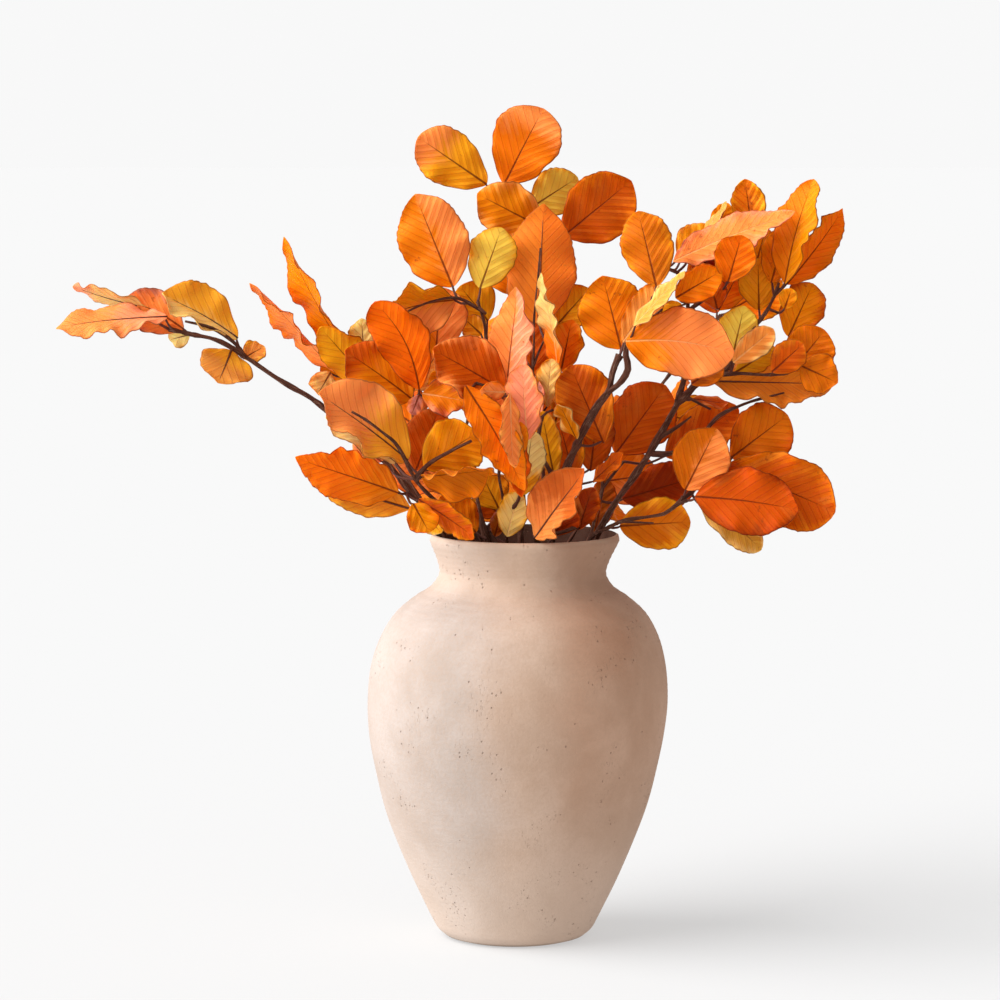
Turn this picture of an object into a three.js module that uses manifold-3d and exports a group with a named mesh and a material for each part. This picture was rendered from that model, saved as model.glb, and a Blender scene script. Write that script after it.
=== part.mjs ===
// Autumn beech sprays standing in a round-shouldered clay vase.
// Millimetres, +Z up, the front towards -Y, the origin at the middle of the vase's foot.
import * as THREE from "three";
import { mergeVertices } from "three/addons/utils/BufferGeometryUtils.js";
import Module from "manifold-3d";

const wasm = await Module();
wasm.setup();

// Vase
const VASE_TALL = 303.5;
const RIM_LEAN = 7.5; // how far the mouth stands to the right of the foot
const LEAN_POWER = 2.6; // the foot and belly stay straight, and the shoulder and neck lean
const WALL = 6.5;
const FLOOR = 9;
const VASE_SIDES = 36;
const THROAT = 274; // height of the narrowest place of the neck
// Outside radius at a height, from the foot's edge up and over the lip
const VASE_OUTSIDE = [
  [47, 0], [53, 1.8], [58.4, 6.5], [62.6, 14], [67.5, 24], [77.2, 44], [87.5, 68], [97, 94],
  [104.4, 121], [110.2, 151], [112.3, 180], [109.6, 208], [103.4, 227], [93.5, 243.5],
  [80, 255.5], [67.5, 264.5], [62.3, THROAT], [64.6, 284], [69, 294], [70.8, 298.5],
  [70.4, 301.6], [68.4, VASE_TALL], [66.4, 301.8],
];
// The inside leaves out the rings that only shape the outer skin.
const VASE_INSIDE = [
  [56.5, 0], [77.2, 44], [97, 94], [112.3, 180], [103.4, 227], [80, 255.5], [62.3, THROAT],
  [69, 294],
];
const CLAY = 0xd9bfa6;
const CLAY_ROUGHNESS = 0.9;

// Leaves
const BLADE_THICK = 1.1;
const CORNERS = 6; // corners round a blade: left, rib and right on each face
const BLADE_ROWS = 5; // steps from the start of a long blade to its tip
const SHORT_ROWS = 4;
const SHORT_BLADE = 34; // a blade that is shorter than this has fewer steps
const WAVE = 0.07; // how far the margin waves out of the blade, as a share of its width
const TOOTH = 0.03; // how far the margin's teeth stand out, as a share of the half width
const OUTLINE_BASE = 0.75; // power of the blade's outline at its base, 1 is a straight wedge
const OUTLINE_TIP = 0.6; // power at its tip, lower is rounder
const STALK = 8; // a leaf stalk leaves its twig about this far behind the blade
const STALK_TOP = 0.95; // from the middle of the three-sided stalk to its corners, at the blade
const STALK_FOOT = 0.6;
const STALK_CORNERS = [150, 30, -90]; // degrees round the stalk from its right side
const LEAF_ROUGHNESS = 0.6;

// Twigs
const STEM_SIDES = 5;
const TWIG_SIDES = 3;
const TWIG_UNDER = 1.6; // a twig with a smaller root radius has fewer sides
const STEM_STEP = 36;
const TWIG_END = 5; // the stalks of the last leaves take over this far before a twig's last place
const LINE_PARTS = 10; // places on each step of a twig where a stalk can leave it
const STALKS_BELOW = 16; // stalks leave their twigs from this far below the lip
const MERGE = 1e-4; // corners that are closer than this are one corner
const SEAT_GAP = 0.3; // what a stem keeps to the vase's floor

// The sprays are laid out as a viewer in front of the vase sees them. A place is [across, up, depth]:
// across and up are measured on the upright plane through the vase's middle, and depth moves the
// place along the viewer's sight line, so that it keeps its spot in the view. Minus is nearer.
const EYE = new THREE.Vector3(-11.25, -2800, 602);

function seen([across, up, depth]) {
  const onPlane = new THREE.Vector3(across, 0, up);
  return EYE.clone().lerp(onPlane, 1 + depth / -EYE.y);
}

// A leaf is written as name, start of the blade, tip, width, then turn, fold, bow, sweep, twist.
// Turn swings the right half back, fold raises both halves to the viewer, in degrees. Bow lifts the
// middle to the viewer and sweep pushes the rib to the right, as shares of the length. Twist is
// how many degrees the blade turns from its start to its tip.
const SPRAYS = {
  far_left_branch: {
    colour: 0xe8853a,
    foot: [-24, -6],
    neck: [-38, -10],
    stems: [
      [3.1, 1.2, [-53, 304, -14], [-75, 331, -20], [-105, 366, -26], [-128, 384, -28], [-148, 402, -30],
        [-175, 418, -30], [-200, 435, -28], [-222, 448, -26], [-240, 452, -25], [-262, 457, -24]],
      [1.2, 0.8, [-200, 435, -28], [-208, 445, -40], [-226, 457, -52], [-250, 463, -56]],
    ],
    leaves: [
      ["long_low", [-258, 465, -36], [-341, 457, -48], 40, -60, 10, 0.02, 0, 0],
      ["thin_high", [-272, 472, -16], [-328, 488, -6], 26, 66, 8, 0.06, 0.08, 0],
      ["dusky", [-246, 456, -22], [-290, 478, -16], 34, 10, 10, 0, 0.05, 0],
      ["broad", [-206, 449, -34], [-263, 481, -42], 46, -44, 21, 0.03, 0.02, 0],
      ["hanging", [-211, 440, -33], [-221, 416, -42], 42, 10, 8, 0.05, 0, 0],
      ["bud_side", [-202, 434, -22], [-186, 443, -16], 20, 30, 10, 0, 0, 0],
      ["small_cream", [-242, 452, -20], [-257, 448, -12], 15, 30, 0, 0, 0, 0],
    ],
  },
  left_low_spray: {
    colour: 0xe8641a,
    foot: [-20, -22],
    neck: [-30, -24],
    stems: [[2.8, 1.6, [-44, 303, -34], [-62, 320, -48], [-76, 330, -58], [-85, 336, -62]]],
    leaves: [
      ["red_long", [-87, 334, -64], [-164, 360, -84], 42, 28, 12, 0.03, 0.02, 10],
      ["under_long", [-78, 322, -56], [-150, 352, -66], 32, 12, 10, 0, -0.04, 0],
      ["amber_drop", [-76, 326, -82], [-64, 304, -92], 24, 18, 8, 0, 0, 0],
      ["gold_drop", [-68, 318, -52], [-55, 304, -64], 16, -15, 6, 0, 0, 0],
      ["over_lip", [-72, 329, -68], [-29, 300, -88], 20, -24, 10, 0.06, -0.04, 0],
    ],
  },
  left_front_branch: {
    colour: 0xf08f3a,
    foot: [-10, -30],
    neck: [-18, -36],
    stems: [
      [2.7, 0.9, [-34, 302, -54], [-52, 322, -66], [-70, 338, -78], [-78, 350, -88], [-83, 361, -98],
        [-90, 372, -106], [-100, 380, -112], [-112, 389, -116], [-126, 397, -119]],
      [1.5, 0.9, [-74, 344, -82], [-66, 354, -88], [-48, 365, -94], [-28, 375, -98]],
    ],
    leaves: [
      ["big_underside", [-80, 358, -80], [-147, 408, -100], 60, -34, 36, 0.03, 0, 0],
      ["cream_under", [-88, 356, -64], [-140, 392, -74], 28, -58, 6, 0, 0, 0],
      ["peach_under", [-99, 357, -52], [-120, 373, -56], 18, 25, 0, 0, 0, 0],
      ["amber_round", [-68, 353, -79], [-28, 379, -84], 44, -8, -8, 0, 0, 0],
      ["brown_below", [-70, 346, -84], [-20, 351, -98], 46, -54, 30, 0, 0, 0],
    ],
  },
  left_upper_branch: {
    colour: 0xf57a12,
    foot: [-22, 8],
    neck: [-38, 8],
    stems: [
      [3, 1.6, [-54, 305, 10], [-78, 340, 18], [-98, 368, 24], [-114, 392, 26], [-123, 408, 24],
        [-127, 417, 22], [-129, 425, 18]],
    ],
    leaves: [
      ["tall_wavy", [-125, 437, 12], [-172, 524, 0], 40, 66, 10, 0.02, 0.01, 0],
      ["vivid_side", [-104, 411, 2], [-145, 458, -18], 34, 25, 10, 0, 0, 0],
      ["amber_side", [-119, 415, 24], [-143, 434, 30], 24, -10, 8, 0, 0, 0],
      ["edge_on", [-132, 423, 16], [-195, 492, 4], 42, 74, 13, 0, 0, 0],
      ["peach_fold", [-137, 424, 14], [-147, 407, 4], 22, 15, 0, 0, 0, 0],
      ["small_yellow", [-112, 434, 30], [-114, 464, 34], 22, 10, 0, 0, 0, 0],
      ["yellow_curl", [-104, 411, -14], [-120, 432, -28], 16, 50, 0, 0.1, 0, 0],
    ],
  },
  left_centre_branch: {
    colour: 0xe8701c,
    foot: [-8, -14],
    neck: [-14, -12],
    stems: [
      [2.8, 1.4, [-28, 304, -16], [-48, 335, -24], [-66, 370, -34], [-76, 393, -40], [-73, 403, -44],
        [-70, 411, -46]],
    ],
    leaves: [
      ["dark_tip", [-77, 404, -46], [-127, 440, -58], 46, -22, 22, 0.03, 0, 0],
      ["red_rib", [-71, 411, -60], [-104, 477, -77], 40, 14, 12, 0.02, 0.09, 0],
      ["striped_salmon", [-69, 408, -55], [-36, 402, -65], 28, 10, 8, 0.06, 0, 0],
      ["mauve_scrap", [-71, 407, -54], [-77, 392, -60], 12, 0, 0, 0, 0, 0],
      ["amber_low", [-41, 403, -40], [-62, 424, -46], 25, 0, 8, 0, 0, 0],
      ["deep_red", [-74, 350, -42], [-56, 398, -46], 38, 0, 12, 0, 0, 0],
    ],
  },
  upper_left_branch: {
    colour: 0xe88a22,
    foot: [-10, 6],
    neck: [-16, 8],
    stems: [
      [2.6, 1.3, [-24, 304, 8], [-30, 350, 8], [-28, 400, 4], [-22, 440, 0], [-22, 456, -6],
        [-29, 481, -13]],
      [1.2, 0.7, [-26, 470, -10], [-43, 479, -16], [-60, 477, -20], [-76, 471, -25], [-89, 464, -30]],
      [1.3, 1.1, [-27, 472, -11], [-18, 464, -14]],
    ],
    leaves: [
      ["round_left", [-46, 487, -12], [-74, 556, -2], 52, 4, -6, 0.03, 0, 0],
      ["olive_left", [-26, 486, -6], [-10, 531, 2], 36, 0, -6, 0, 0, 0],
      ["drooping", [-44, 478, -8], [-98, 466, -14], 48, 28, 28, 0.02, 0.05, 0],
      ["half_salmon", [-59, 437, -2], [-55, 487, 8], 44, 0, 10, 0, 0, 0],
      ["behind_twig", [-20, 462, 16], [-41, 488, 18], 38, 0, 0, 0, 0, 0],
      ["gold_scrap", [-25, 452, 4], [-38, 464, 10], 18, 0, 0, 0, 0, 0],
    ],
  },
  top_branch: {
    colour: 0xe0761c,
    foot: [4, 8],
    neck: [2, 16],
    stems: [
      [2.6, 1, [4, 304, 20], [6, 350, 26], [6, 400, 32], [2, 450, 38], [-2, 490, 42], [-5, 526, 44],
        [-7, 556, 44]],
      [1.8, 1, [6, 400, 32], [13, 440, 36], [23, 480, 42], [32, 514, 46], [37, 525, 44]],
    ],
    leaves: [
      ["top_gold", [-21, 563, 40], [-72, 598, 34], 43, 0, -5, 0.02, 0, 0],
      ["crown", [-8, 563, 42], [21, 619, 46], 52, 6, 8, 0.03, 0, 0],
      ["front_of_crown", [20, 531, 34], [-28, 556, 26], 42, 0, 8, 0.03, 0, 0],
      ["olive_right", [12, 546, 52], [46, 568, 60], 36, 0, 0, 0, 0, 0],
      ["dark_right", [36, 525, 42], [86, 566, 36], 52, -6, 8, 0.02, 0, 0],
    ],
  },
  centre_branch: {
    colour: 0xf0803a,
    foot: [12, -4],
    neck: [14, -2],
    stems: [
      [2.4, 0.7, [18, 304, -4], [21, 345, -6], [19, 380, -10], [15, 405, -12], [13, 425, -10],
        [14, 442, -8], [14, 462, -6], [17, 495, -4], [19, 521, 0]],
      [1.1, 0.7, [13, 427, -10], [18, 440, -6], [24, 453, -2]],
      [1.2, 0.8, [14, 421, -11], [8, 433, -8], [3, 441, -4]],
    ],
    leaves: [
      ["great_back", [17, 460, 6], [21, 549, 16], 56, 0, -12, 0.02, 0, 0],
      ["dark_behind", [12, 420, 4], [12, 468, 14], 40, 0, 6, 0, 0, 0],
      ["cream_curl", [32, 424, -14], [17, 497, -22], 24, 60, 8, 0, 0.06, 0],
      ["amber_behind", [31, 459, 16], [55, 486, 24], 32, 0, 0, 0, 0, 0],
      ["brown_pink", [34, 424, -8], [42, 463, -12], 26, 10, 8, 0, 0, 0],
      ["yellow_mid", [24, 398, -16], [27, 434, -22], 20, 20, 10, 0, 0, 0],
      ["amber_mid", [30, 386, -10], [35, 413, -16], 13, 10, 0, 0, 0, 0],
      ["rose_sliver", [17, 390, -16], [18, 417, -20], 15, 60, 0, 0, 0, 0],
    ],
  },
  centre_front_branch: {
    colour: 0xff8a5c,
    foot: [-2, -20],
    neck: [0, -26],
    stems: [
      [2.2, 1, [-7, 303, -42], [-7, 318, -50], [-10, 335, -58], [-12, 346, -62], [-6, 375, -70],
        [-3, 395, -74], [-8, 410, -78]],
      [1.3, 0.9, [-6, 403, -76], [-20, 413, -84], [-34, 417, -88]],
      [1.4, 0.9, [-7, 316, -50], [3, 330, -66], [5, 343, -74], [5, 365, -80]],
    ],
    leaves: [
      ["tall_salmon", [-7, 402, -76], [3, 487, -70], 36, 28, 16, 0.02, 0, 10],
      ["broad_centre", [-8, 410, -78], [-62, 441, -88], 48, -16, 16, 0.03, 0, 0],
      ["long_hanging", [-37, 414, -95], [7, 335, -101], 30, 10, 12, 0.03, -0.02, 0],
      ["vivid_drop", [-8, 388, -72], [4, 330, -80], 23, 25, 12, 0.02, 0, 0],
      ["salmon_drop", [-4, 408, -96], [-2, 352, -110], 20, 40, 10, 0, 0, 0],
      ["pink_fold", [-7, 409, -92], [-26, 410, -99], 15, 20, 0, 0, 0, 0],
      ["pink_twist", [9, 373, -82], [6, 430, -93], 30, 20, 16, 0.02, 0, 30],
      ["tan_inside", [4, 382, -68], [3, 413, -70], 14, 0, 0, 0, 0, 0],
      ["cream_upright", [6, 332, -55], [13, 381, -62], 26, 0, 8, 0, 0, 0],
      ["small_brown", [5, 363, -92], [4, 387, -94], 11, 0, 0, 0, 0, 0],
      ["yellow_striped", [-6, 301, -52], [3, 335, -64], 24, 10, 8, 0, 0, 0],
      ["salmon_low", [-15, 301, -36], [-10, 320, -42], 13, 0, 0, 0, 0, 0],
    ],
  },
  front_left_spray: {
    colour: 0xc8701c,
    foot: [-14, -14],
    neck: [-12, -22],
    stems: [[2.6, 1.6, [-20, 302, -34], [-24, 312, -40], [-27, 324, -46], [-30, 337, -50]]],
    leaves: [
      ["brown_low", [-29, 304, -30], [-56, 332, -34], 32, 0, 8, 0, 0, 0],
      ["amber_inner", [-12, 322, -34], [-24, 346, -40], 30, 0, 6, 0, 0, 0],
      ["dark_inner", [-11, 318, -28], [-27, 329, -32], 20, 0, 0, 0, 0, 0],
    ],
  },
  front_right_spray: {
    colour: 0xe87030,
    foot: [14, -26],
    neck: [16, -36],
    stems: [
      [2.4, 1.5, [15, 300, -50], [13, 304, -54]],
      [1.8, 1.2, [15, 300, -50], [34, 304, -46], [50, 310, -40]],
    ],
    leaves: [
      ["folded_front", [15, 300, -64], [54, 352, -90], 45, 30, 26, 0.02, 0, 0],
      ["deep_low", [47, 306, -38], [58, 338, -46], 20, 0, 0, 0, 0, 0],
      ["dark_low", [30, 302, -40], [40, 326, -44], 26, 0, 0, 0, 0, 0],
    ],
  },
  centre_right_branch: {
    colour: 0xe8803a,
    foot: [20, -14],
    neck: [26, -16],
    stems: [
      [3.6, 2.4, [28, 304, -22], [29, 325, -28], [31, 340, -36], [37, 351, -40], [43, 363, -44],
        [48, 374, -46], [55, 388, -50], [62, 400, -52], [70, 411, -54], [72, 422, -54],
        [75, 431, -52], [80, 441, -50]],
      [2.4, 1.3, [69, 409, -54], [79, 417, -60], [84, 427, -64], [82, 438, -64], [84, 448, -61],
        [93, 457, -58], [99, 470, -54], [104, 484, -48]],
      [2, 0.9, [31, 341, -36], [25, 352, -44], [20, 361, -48], [17, 371, -52], [18, 380, -54],
        [22, 393, -56], [33, 398, -58]],
      [1, 0.7, [21, 358, -47], [25, 368, -48]],
      [1.2, 0.8, [88, 451, -56], [100, 463, -56], [113, 474, -54]],
    ],
    leaves: [
      ["round_striped", [79, 441, -40], [65, 495, -28], 50, 0, -8, 0, 0, 0],
      ["peach_stalk", [80, 446, -48], [109, 489, -44], 26, 15, 8, 0, 0, 0],
      ["big_front", [82, 447, -66], [163, 438, -80], 51, 0, 12, 0.03, -0.05, 0],
      ["cream_twisted", [88, 458, -72], [126, 499, -78], 24, 62, 6, 0, 0, 0],
      ["amber_top", [105, 487, -46], [91, 544, -26], 38, 0, -6, 0.02, 0, 0],
      ["dark_orange", [66, 371, -38], [41, 429, -28], 44, 0, 10, 0, 0, 0],
      ["red_shade", [44, 345, -30], [33, 387, -26], 28, 0, 6, 0, 0, 0],
      ["deep_shade", [56, 350, -22], [62, 400, -18], 30, 0, 0, 0, 0, 0],
      ["amber_gap", [29, 346, -34], [20, 395, -40], 20, 0, 8, 0, 0, 0],
      ["wavy_edge", [46, 374, -52], [33, 401, -60], 22, 58, 0, 0, 0, 0],
      ["thin_orange", [58, 342, -34], [81, 363, -42], 18, 55, 0, 0, 0, 0],
    ],
  },
  right_main_branch: {
    colour: 0xe0741c,
    foot: [32, -4],
    neck: [47, -4],
    stems: [
      [3.4, 2.2, [62, 304, -4], [70, 319, -6], [85, 341, -8], [98, 360, -10], [106, 374, -12],
        [115, 390, -14], [121, 401, -15], [125, 412, -16]],
      [2.2, 1, [121, 402, -15], [128, 430, -16], [129, 455, -14], [128, 480, -12], [129, 502, -10]],
      [2.4, 0.9, [121, 401, -15], [140, 418, -18], [151, 422, -20], [160, 429, -22], [168, 442, -22],
        [177, 456, -22], [187, 470, -20], [194, 485, -18], [197, 495, -16]],
      [1.5, 0.7, [150, 422, -20], [165, 423, -26], [190, 422, -32], [205, 424, -36], [213, 429, -38]],
      [2, 0.7, [99, 363, -10], [112, 363, -16], [125, 366, -20], [136, 373, -22], [150, 390, -22],
        [170, 400, -24], [205, 410, -30]],
      [1.8, 0.5, [107, 375, -12], [122, 384, -16], [135, 394, -18]],
      [1, 0.7, [124, 408, -16], [138, 400, -18], [150, 394, -20]],
      [1.3, 0.9, [129, 470, -13], [140, 478, -12], [152, 486, -8], [166, 500, 0], [177, 520, 10]],
      [0.9, 0.6, [188, 471, -20], [200, 466, -24]],
      [0.9, 0.8, [129, 486, -12], [120, 498, -10], [106, 503, -7]],
    ],
    leaves: [
      ["long_salmon", [117, 506, -8], [208, 542, -20], 34, 38, 10, 0.03, 0, 0],
      ["cream_strip", [130, 513, 4], [157, 550, 6], 18, 66, 0, 0, 0, 0],
      ["amber_scrap", [146, 526, 12], [158, 549, 16], 16, 0, 0, 0, 0, 0],
      ["amber_edge", [122, 506, 14], [144, 533, 20], 30, 0, 0, 0, 0, 0],
      ["upright_amber", [176, 526, 16], [170, 567, 22], 27, 10, 8, 0, 0, 0],
      ["upper_right", [200, 489, -18], [221, 567, -12], 36, 40, 12, 0.02, -0.02, 0],
      ["far_right", [201, 489, -8], [243, 545, -4], 30, -25, 20, 0, 0.02, 0],
      ["dark_upper", [190, 490, -4], [201, 531, 0], 28, 20, 8, 0, 0, 0],
      ["brown_amber", [181, 470, 0], [180, 508, 6], 33, 0, 8, 0, 0, 0],
      ["vivid_upper", [158, 491, -32], [168, 526, -42], 32, 0, 10, 0.03, 0, 0],
      ["amber_between", [178, 503, 14], [186, 531, 18], 18, 0, 0, 0, 0, 0],
      ["dark_curl", [130, 498, -12], [152, 512, -12], 18, 45, 0, 0, 0, 0],
      ["orange_behind", [128, 492, 8], [147, 511, 12], 20, 0, 0, 0, 0, 0],
      ["orange_low", [119, 479, -28], [153, 499, -36], 26, 0, 10, 0, 0, 0],
      ["orange_scrap", [124, 474, -18], [110, 465, -22], 16, 0, 0, 0, 0, 0],
      ["dark_pair", [150, 471, -20], [144, 494, -21], 20, 0, 8, 0, 0, 0],
      ["vivid_pair", [151, 470, 4], [167, 500, 12], 26, 0, 8, 0, 0, 0],
      ["yellow_green", [161, 432, -28], [170, 473, -20], 32, 0, 0, 0, 0, 0],
      ["peach_striped", [162, 431, -30], [192, 456, -34], 22, 0, 8, 0, 0, 0],
      ["brown_right", [203, 450, -16], [221, 490, -6], 34, 0, 8, 0, 0, 0],
      ["gold_small", [200, 471, -28], [205, 486, -30], 13, 0, 0, 0, 0, 0],
      ["orange_right", [206, 425, -34], [230, 455, -30], 36, 0, 8, 0, 0, 0],
      ["red_right", [191, 424, -46], [214, 445, -56], 24, 0, 8, 0, 0, 0],
      ["corner_right", [212, 429, -46], [240, 416, -50], 30, 0, 8, 0, 0, 0],
      ["long_low_right", [146, 417, -14], [236, 415, -22], 40, 35, 10, 0, 0, 0],
      ["amber_inner_right", [164, 424, -18], [193, 442, -14], 20, 0, 0, 0, 0, 0],
      ["peach_inner_right", [131, 415, -28], [154, 431, -34], 20, 0, 8, 0, 0, 0],
      ["dark_sliver", [131, 404, -12], [158, 400, -8], 14, 55, 0, 0, 0, 0],
    ],
  },
  right_low_branch: {
    colour: 0xdd5a10,
    foot: [30, -20],
    neck: [44, -22],
    stems: [
      [2.7, 1.3, [60, 303, -30], [68, 307, -36], [78, 312, -42], [100, 316, -50], [111, 318, -52],
        [121, 325, -52], [133, 330, -54]],
      [1.2, 0.9, [122, 325, -52], [127, 336, -48]],
      [1, 0.6, [82, 312, -44], [108, 311, -56]],
      [1.6, 1.1, [117, 322, -52], [130, 333, -44], [143, 345, -38], [150, 350, -36], [161, 360, -34]],
    ],
    leaves: [
      ["two_tone", [127, 336, -48], [150, 382, -44], 43, 0, 10, 0.02, 0, 0],
      ["big_red", [134, 331, -56], [212, 321, -70], 49, 0, 10, 0.03, -0.02, 0],
      ["big_brown", [152, 351, -40], [239, 319, -54], 54, 0, 8, 0.03, -0.03, 0],
      ["tan_under", [139, 324, -42], [184, 291, -38], 28, 10, 0, 0, -0.05, 0],
      ["amber_low_right", [78, 309, -38], [131, 312, -40], 40, 0, -6, 0, 0, 0],
      ["brown_high", [161, 360, -30], [203, 392, -30], 45, 0, 8, 0, 0, 0],
    ],
  },
  right_thin_branch: {
    colour: 0xc84a10,
    foot: [28, 8],
    neck: [40, 8],
    stems: [
      [2.2, 1.2, [57, 304, 10], [60, 318, 12], [65, 337, 14], [66, 352, 14], [72, 366, 12]],
      [1.4, 0.8, [65, 337, 14], [75, 350, 14], [84, 361, 12]],
    ],
    leaves: [
      ["broad_dark", [75, 363, 12], [112, 414, 18], 49, 0, 8, 0.02, 0, 0],
      ["deep_fan", [80, 329, 16], [136, 346, 20], 36, 0, 6, 0, 0, 0],
      ["brown_fan", [112, 361, 14], [166, 398, 18], 38, 0, 6, 0, 0, 0],
      ["brown_edge", [60, 304, 22], [68, 345, 28], 22, 0, 0, 0, 0, 0],
    ],
  },
  back_left_branch: {
    colour: 0xe07a20,
    foot: [-14, 24],
    neck: [-24, 26],
    stems: [
      [2.8, 1.2, [-34, 304, 34], [-50, 345, 52], [-68, 385, 72], [-82, 420, 88]],
      [1.4, 1, [-52, 350, 54], [-40, 372, 74], [-34, 392, 96]],
    ],
    leaves: [
      ["low_left", [-48, 340, 56], [-92, 362, 86], 44, 0, 10, 0.04, 0, 0],
      ["low_back", [-44, 330, 50], [-66, 336, 112], 44, 0, 12, 0.04, 0, 0],
      ["mid_left", [-74, 384, 78], [-112, 412, 104], 44, 10, 10, 0.04, 0, 0],
      ["mid_back", [-68, 386, 80], [-86, 398, 138], 46, 0, 12, 0.04, 0, 0],
      ["high_left", [-84, 422, 84], [-96, 464, 96], 44, -10, 10, 0.04, 0, 0],
      ["high_back", [-76, 410, 96], [-54, 444, 140], 46, 0, 10, 0.04, 0, 0],
      ["inner_high", [-34, 392, 98], [-28, 432, 106], 34, 0, 8, 0.04, 0, 0],
      ["inner_low", [-38, 376, 86], [-34, 366, 134], 42, 20, 8, 0.04, 0, 0],
    ],
  },
  back_centre_branch: {
    colour: 0xe88c28,
    foot: [4, 30],
    neck: [4, 38],
    stems: [
      [2.8, 1.1, [5, 304, 46], [7, 360, 66], [6, 410, 86], [4, 450, 98], [2, 484, 104]],
    ],
    leaves: [
      ["low_left", [4, 330, 60], [-28, 334, 104], 42, 10, 10, 0.04, 0, 0],
      ["low_right", [9, 338, 62], [36, 342, 110], 44, -10, 10, 0.04, 0, 0],
      ["mid_left", [4, 378, 76], [-18, 408, 134], 44, 0, 10, 0.04, 0, 0],
      ["mid_right", [9, 372, 74], [40, 402, 118], 44, 0, 10, 0.04, 0, 0],
      ["high_left", [3, 428, 94], [-22, 462, 126], 44, 10, 10, 0.04, 0, 0],
      ["high_right", [7, 424, 94], [32, 452, 130], 42, -10, 10, 0.04, 0, 0],
      ["top_left", [0, 482, 104], [-16, 522, 104], 40, 0, 10, 0.04, 0, 0],
      ["top_right", [6, 474, 110], [32, 506, 132], 44, 0, 10, 0.04, 0, 0],
    ],
  },
  back_right_branch: {
    colour: 0xd86a1c,
    foot: [24, 22],
    neck: [30, 26],
    stems: [
      [2.8, 1.3, [44, 304, 36], [62, 340, 52], [86, 380, 70], [110, 416, 86], [134, 446, 96],
        [156, 470, 102]],
      [1.4, 1, [86, 380, 70], [104, 392, 92], [116, 398, 110]],
    ],
    leaves: [
      ["low_back", [58, 328, 54], [74, 332, 112], 44, 0, 10, 0.04, 0, 0],
      ["low_right", [64, 342, 58], [104, 348, 90], 46, 0, 10, 0.04, 0, 0],
      ["mid_left", [78, 372, 70], [62, 398, 112], 44, 10, 10, 0.04, 0, 0],
      ["mid_back", [116, 398, 112], [112, 404, 166], 46, 0, 10, 0.04, 0, 0],
      ["mid_right", [110, 394, 102], [150, 380, 118], 44, 0, 10, 0.04, 0, 0],
      ["high_left", [126, 440, 98], [116, 470, 128], 42, 0, 10, 0.04, 0, 0],
      ["high_right", [134, 444, 98], [178, 436, 122], 44, 0, 10, 0.04, 0, 0],
      ["top_left", [150, 468, 106], [140, 500, 134], 42, 0, 10, 0.04, 0, 0],
      ["top_right", [160, 470, 100], [198, 492, 106], 44, 0, 10, 0.04, 0, 0],
    ],
  },
};

// Solids

// The closed mesh as a solid, with the vertices that its faces share merged.
function solid(geometry) {
  const bare = geometry.clone();
  bare.deleteAttribute("normal");
  bare.deleteAttribute("uv");
  const merged = mergeVertices(bare, MERGE);
  const corners = merged.index.array;
  const kept = [];
  for (let i = 0; i < corners.length; i += 3) {
    const [a, b, c] = corners.slice(i, i + 3);
    if (a !== b && b !== c && c !== a) kept.push(a, b, c);
  }
  return new wasm.Manifold(
    new wasm.Mesh({
      numProp: 3,
      vertProperties: merged.attributes.position.array,
      triVerts: new Uint32Array(kept),
    }),
  );
}

function geometryOf(body) {
  const mesh = body.getMesh();
  const geometry = new THREE.BufferGeometry();
  geometry.setAttribute("position", new THREE.BufferAttribute(mesh.vertProperties, 3));
  geometry.setIndex(new THREE.BufferAttribute(mesh.triVerts, 1));
  const faceted = geometry.toNonIndexed();
  faceted.computeVertexNormals();
  return faceted;
}

function named(name, geometry, colour, roughness) {
  const finish = new THREE.MeshStandardMaterial({ color: colour, roughness, metalness: 0 });
  const mesh = new THREE.Mesh(geometry, finish);
  mesh.name = name;
  return mesh;
}

// Vase: one turned shell, leaning a little to the right as it rises

function leanAt(height) {
  return RIM_LEAN * (Math.max(height, 0) / VASE_TALL) ** LEAN_POWER;
}

function vase() {
  const outside = VASE_OUTSIDE.map(([radius, height]) => new THREE.Vector2(radius, height));
  const inside = VASE_INSIDE.map(
    ([radius, height]) => new THREE.Vector2(radius - WALL, Math.max(height, FLOOR)),
  ).reverse();
  const profile = [new THREE.Vector2(0, 0), ...outside, ...inside, new THREE.Vector2(0, FLOOR)];
  const turned = new THREE.LatheGeometry(profile, VASE_SIDES);
  turned.rotateX(Math.PI / 2);
  const places = turned.attributes.position;
  for (let i = 0; i < places.count; i++) {
    places.setX(i, places.getX(i) + leanAt(places.getZ(i)));
  }
  return solid(turned);
}

// Twigs: a many-sided rod swept along its path and thinned towards its end

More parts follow.
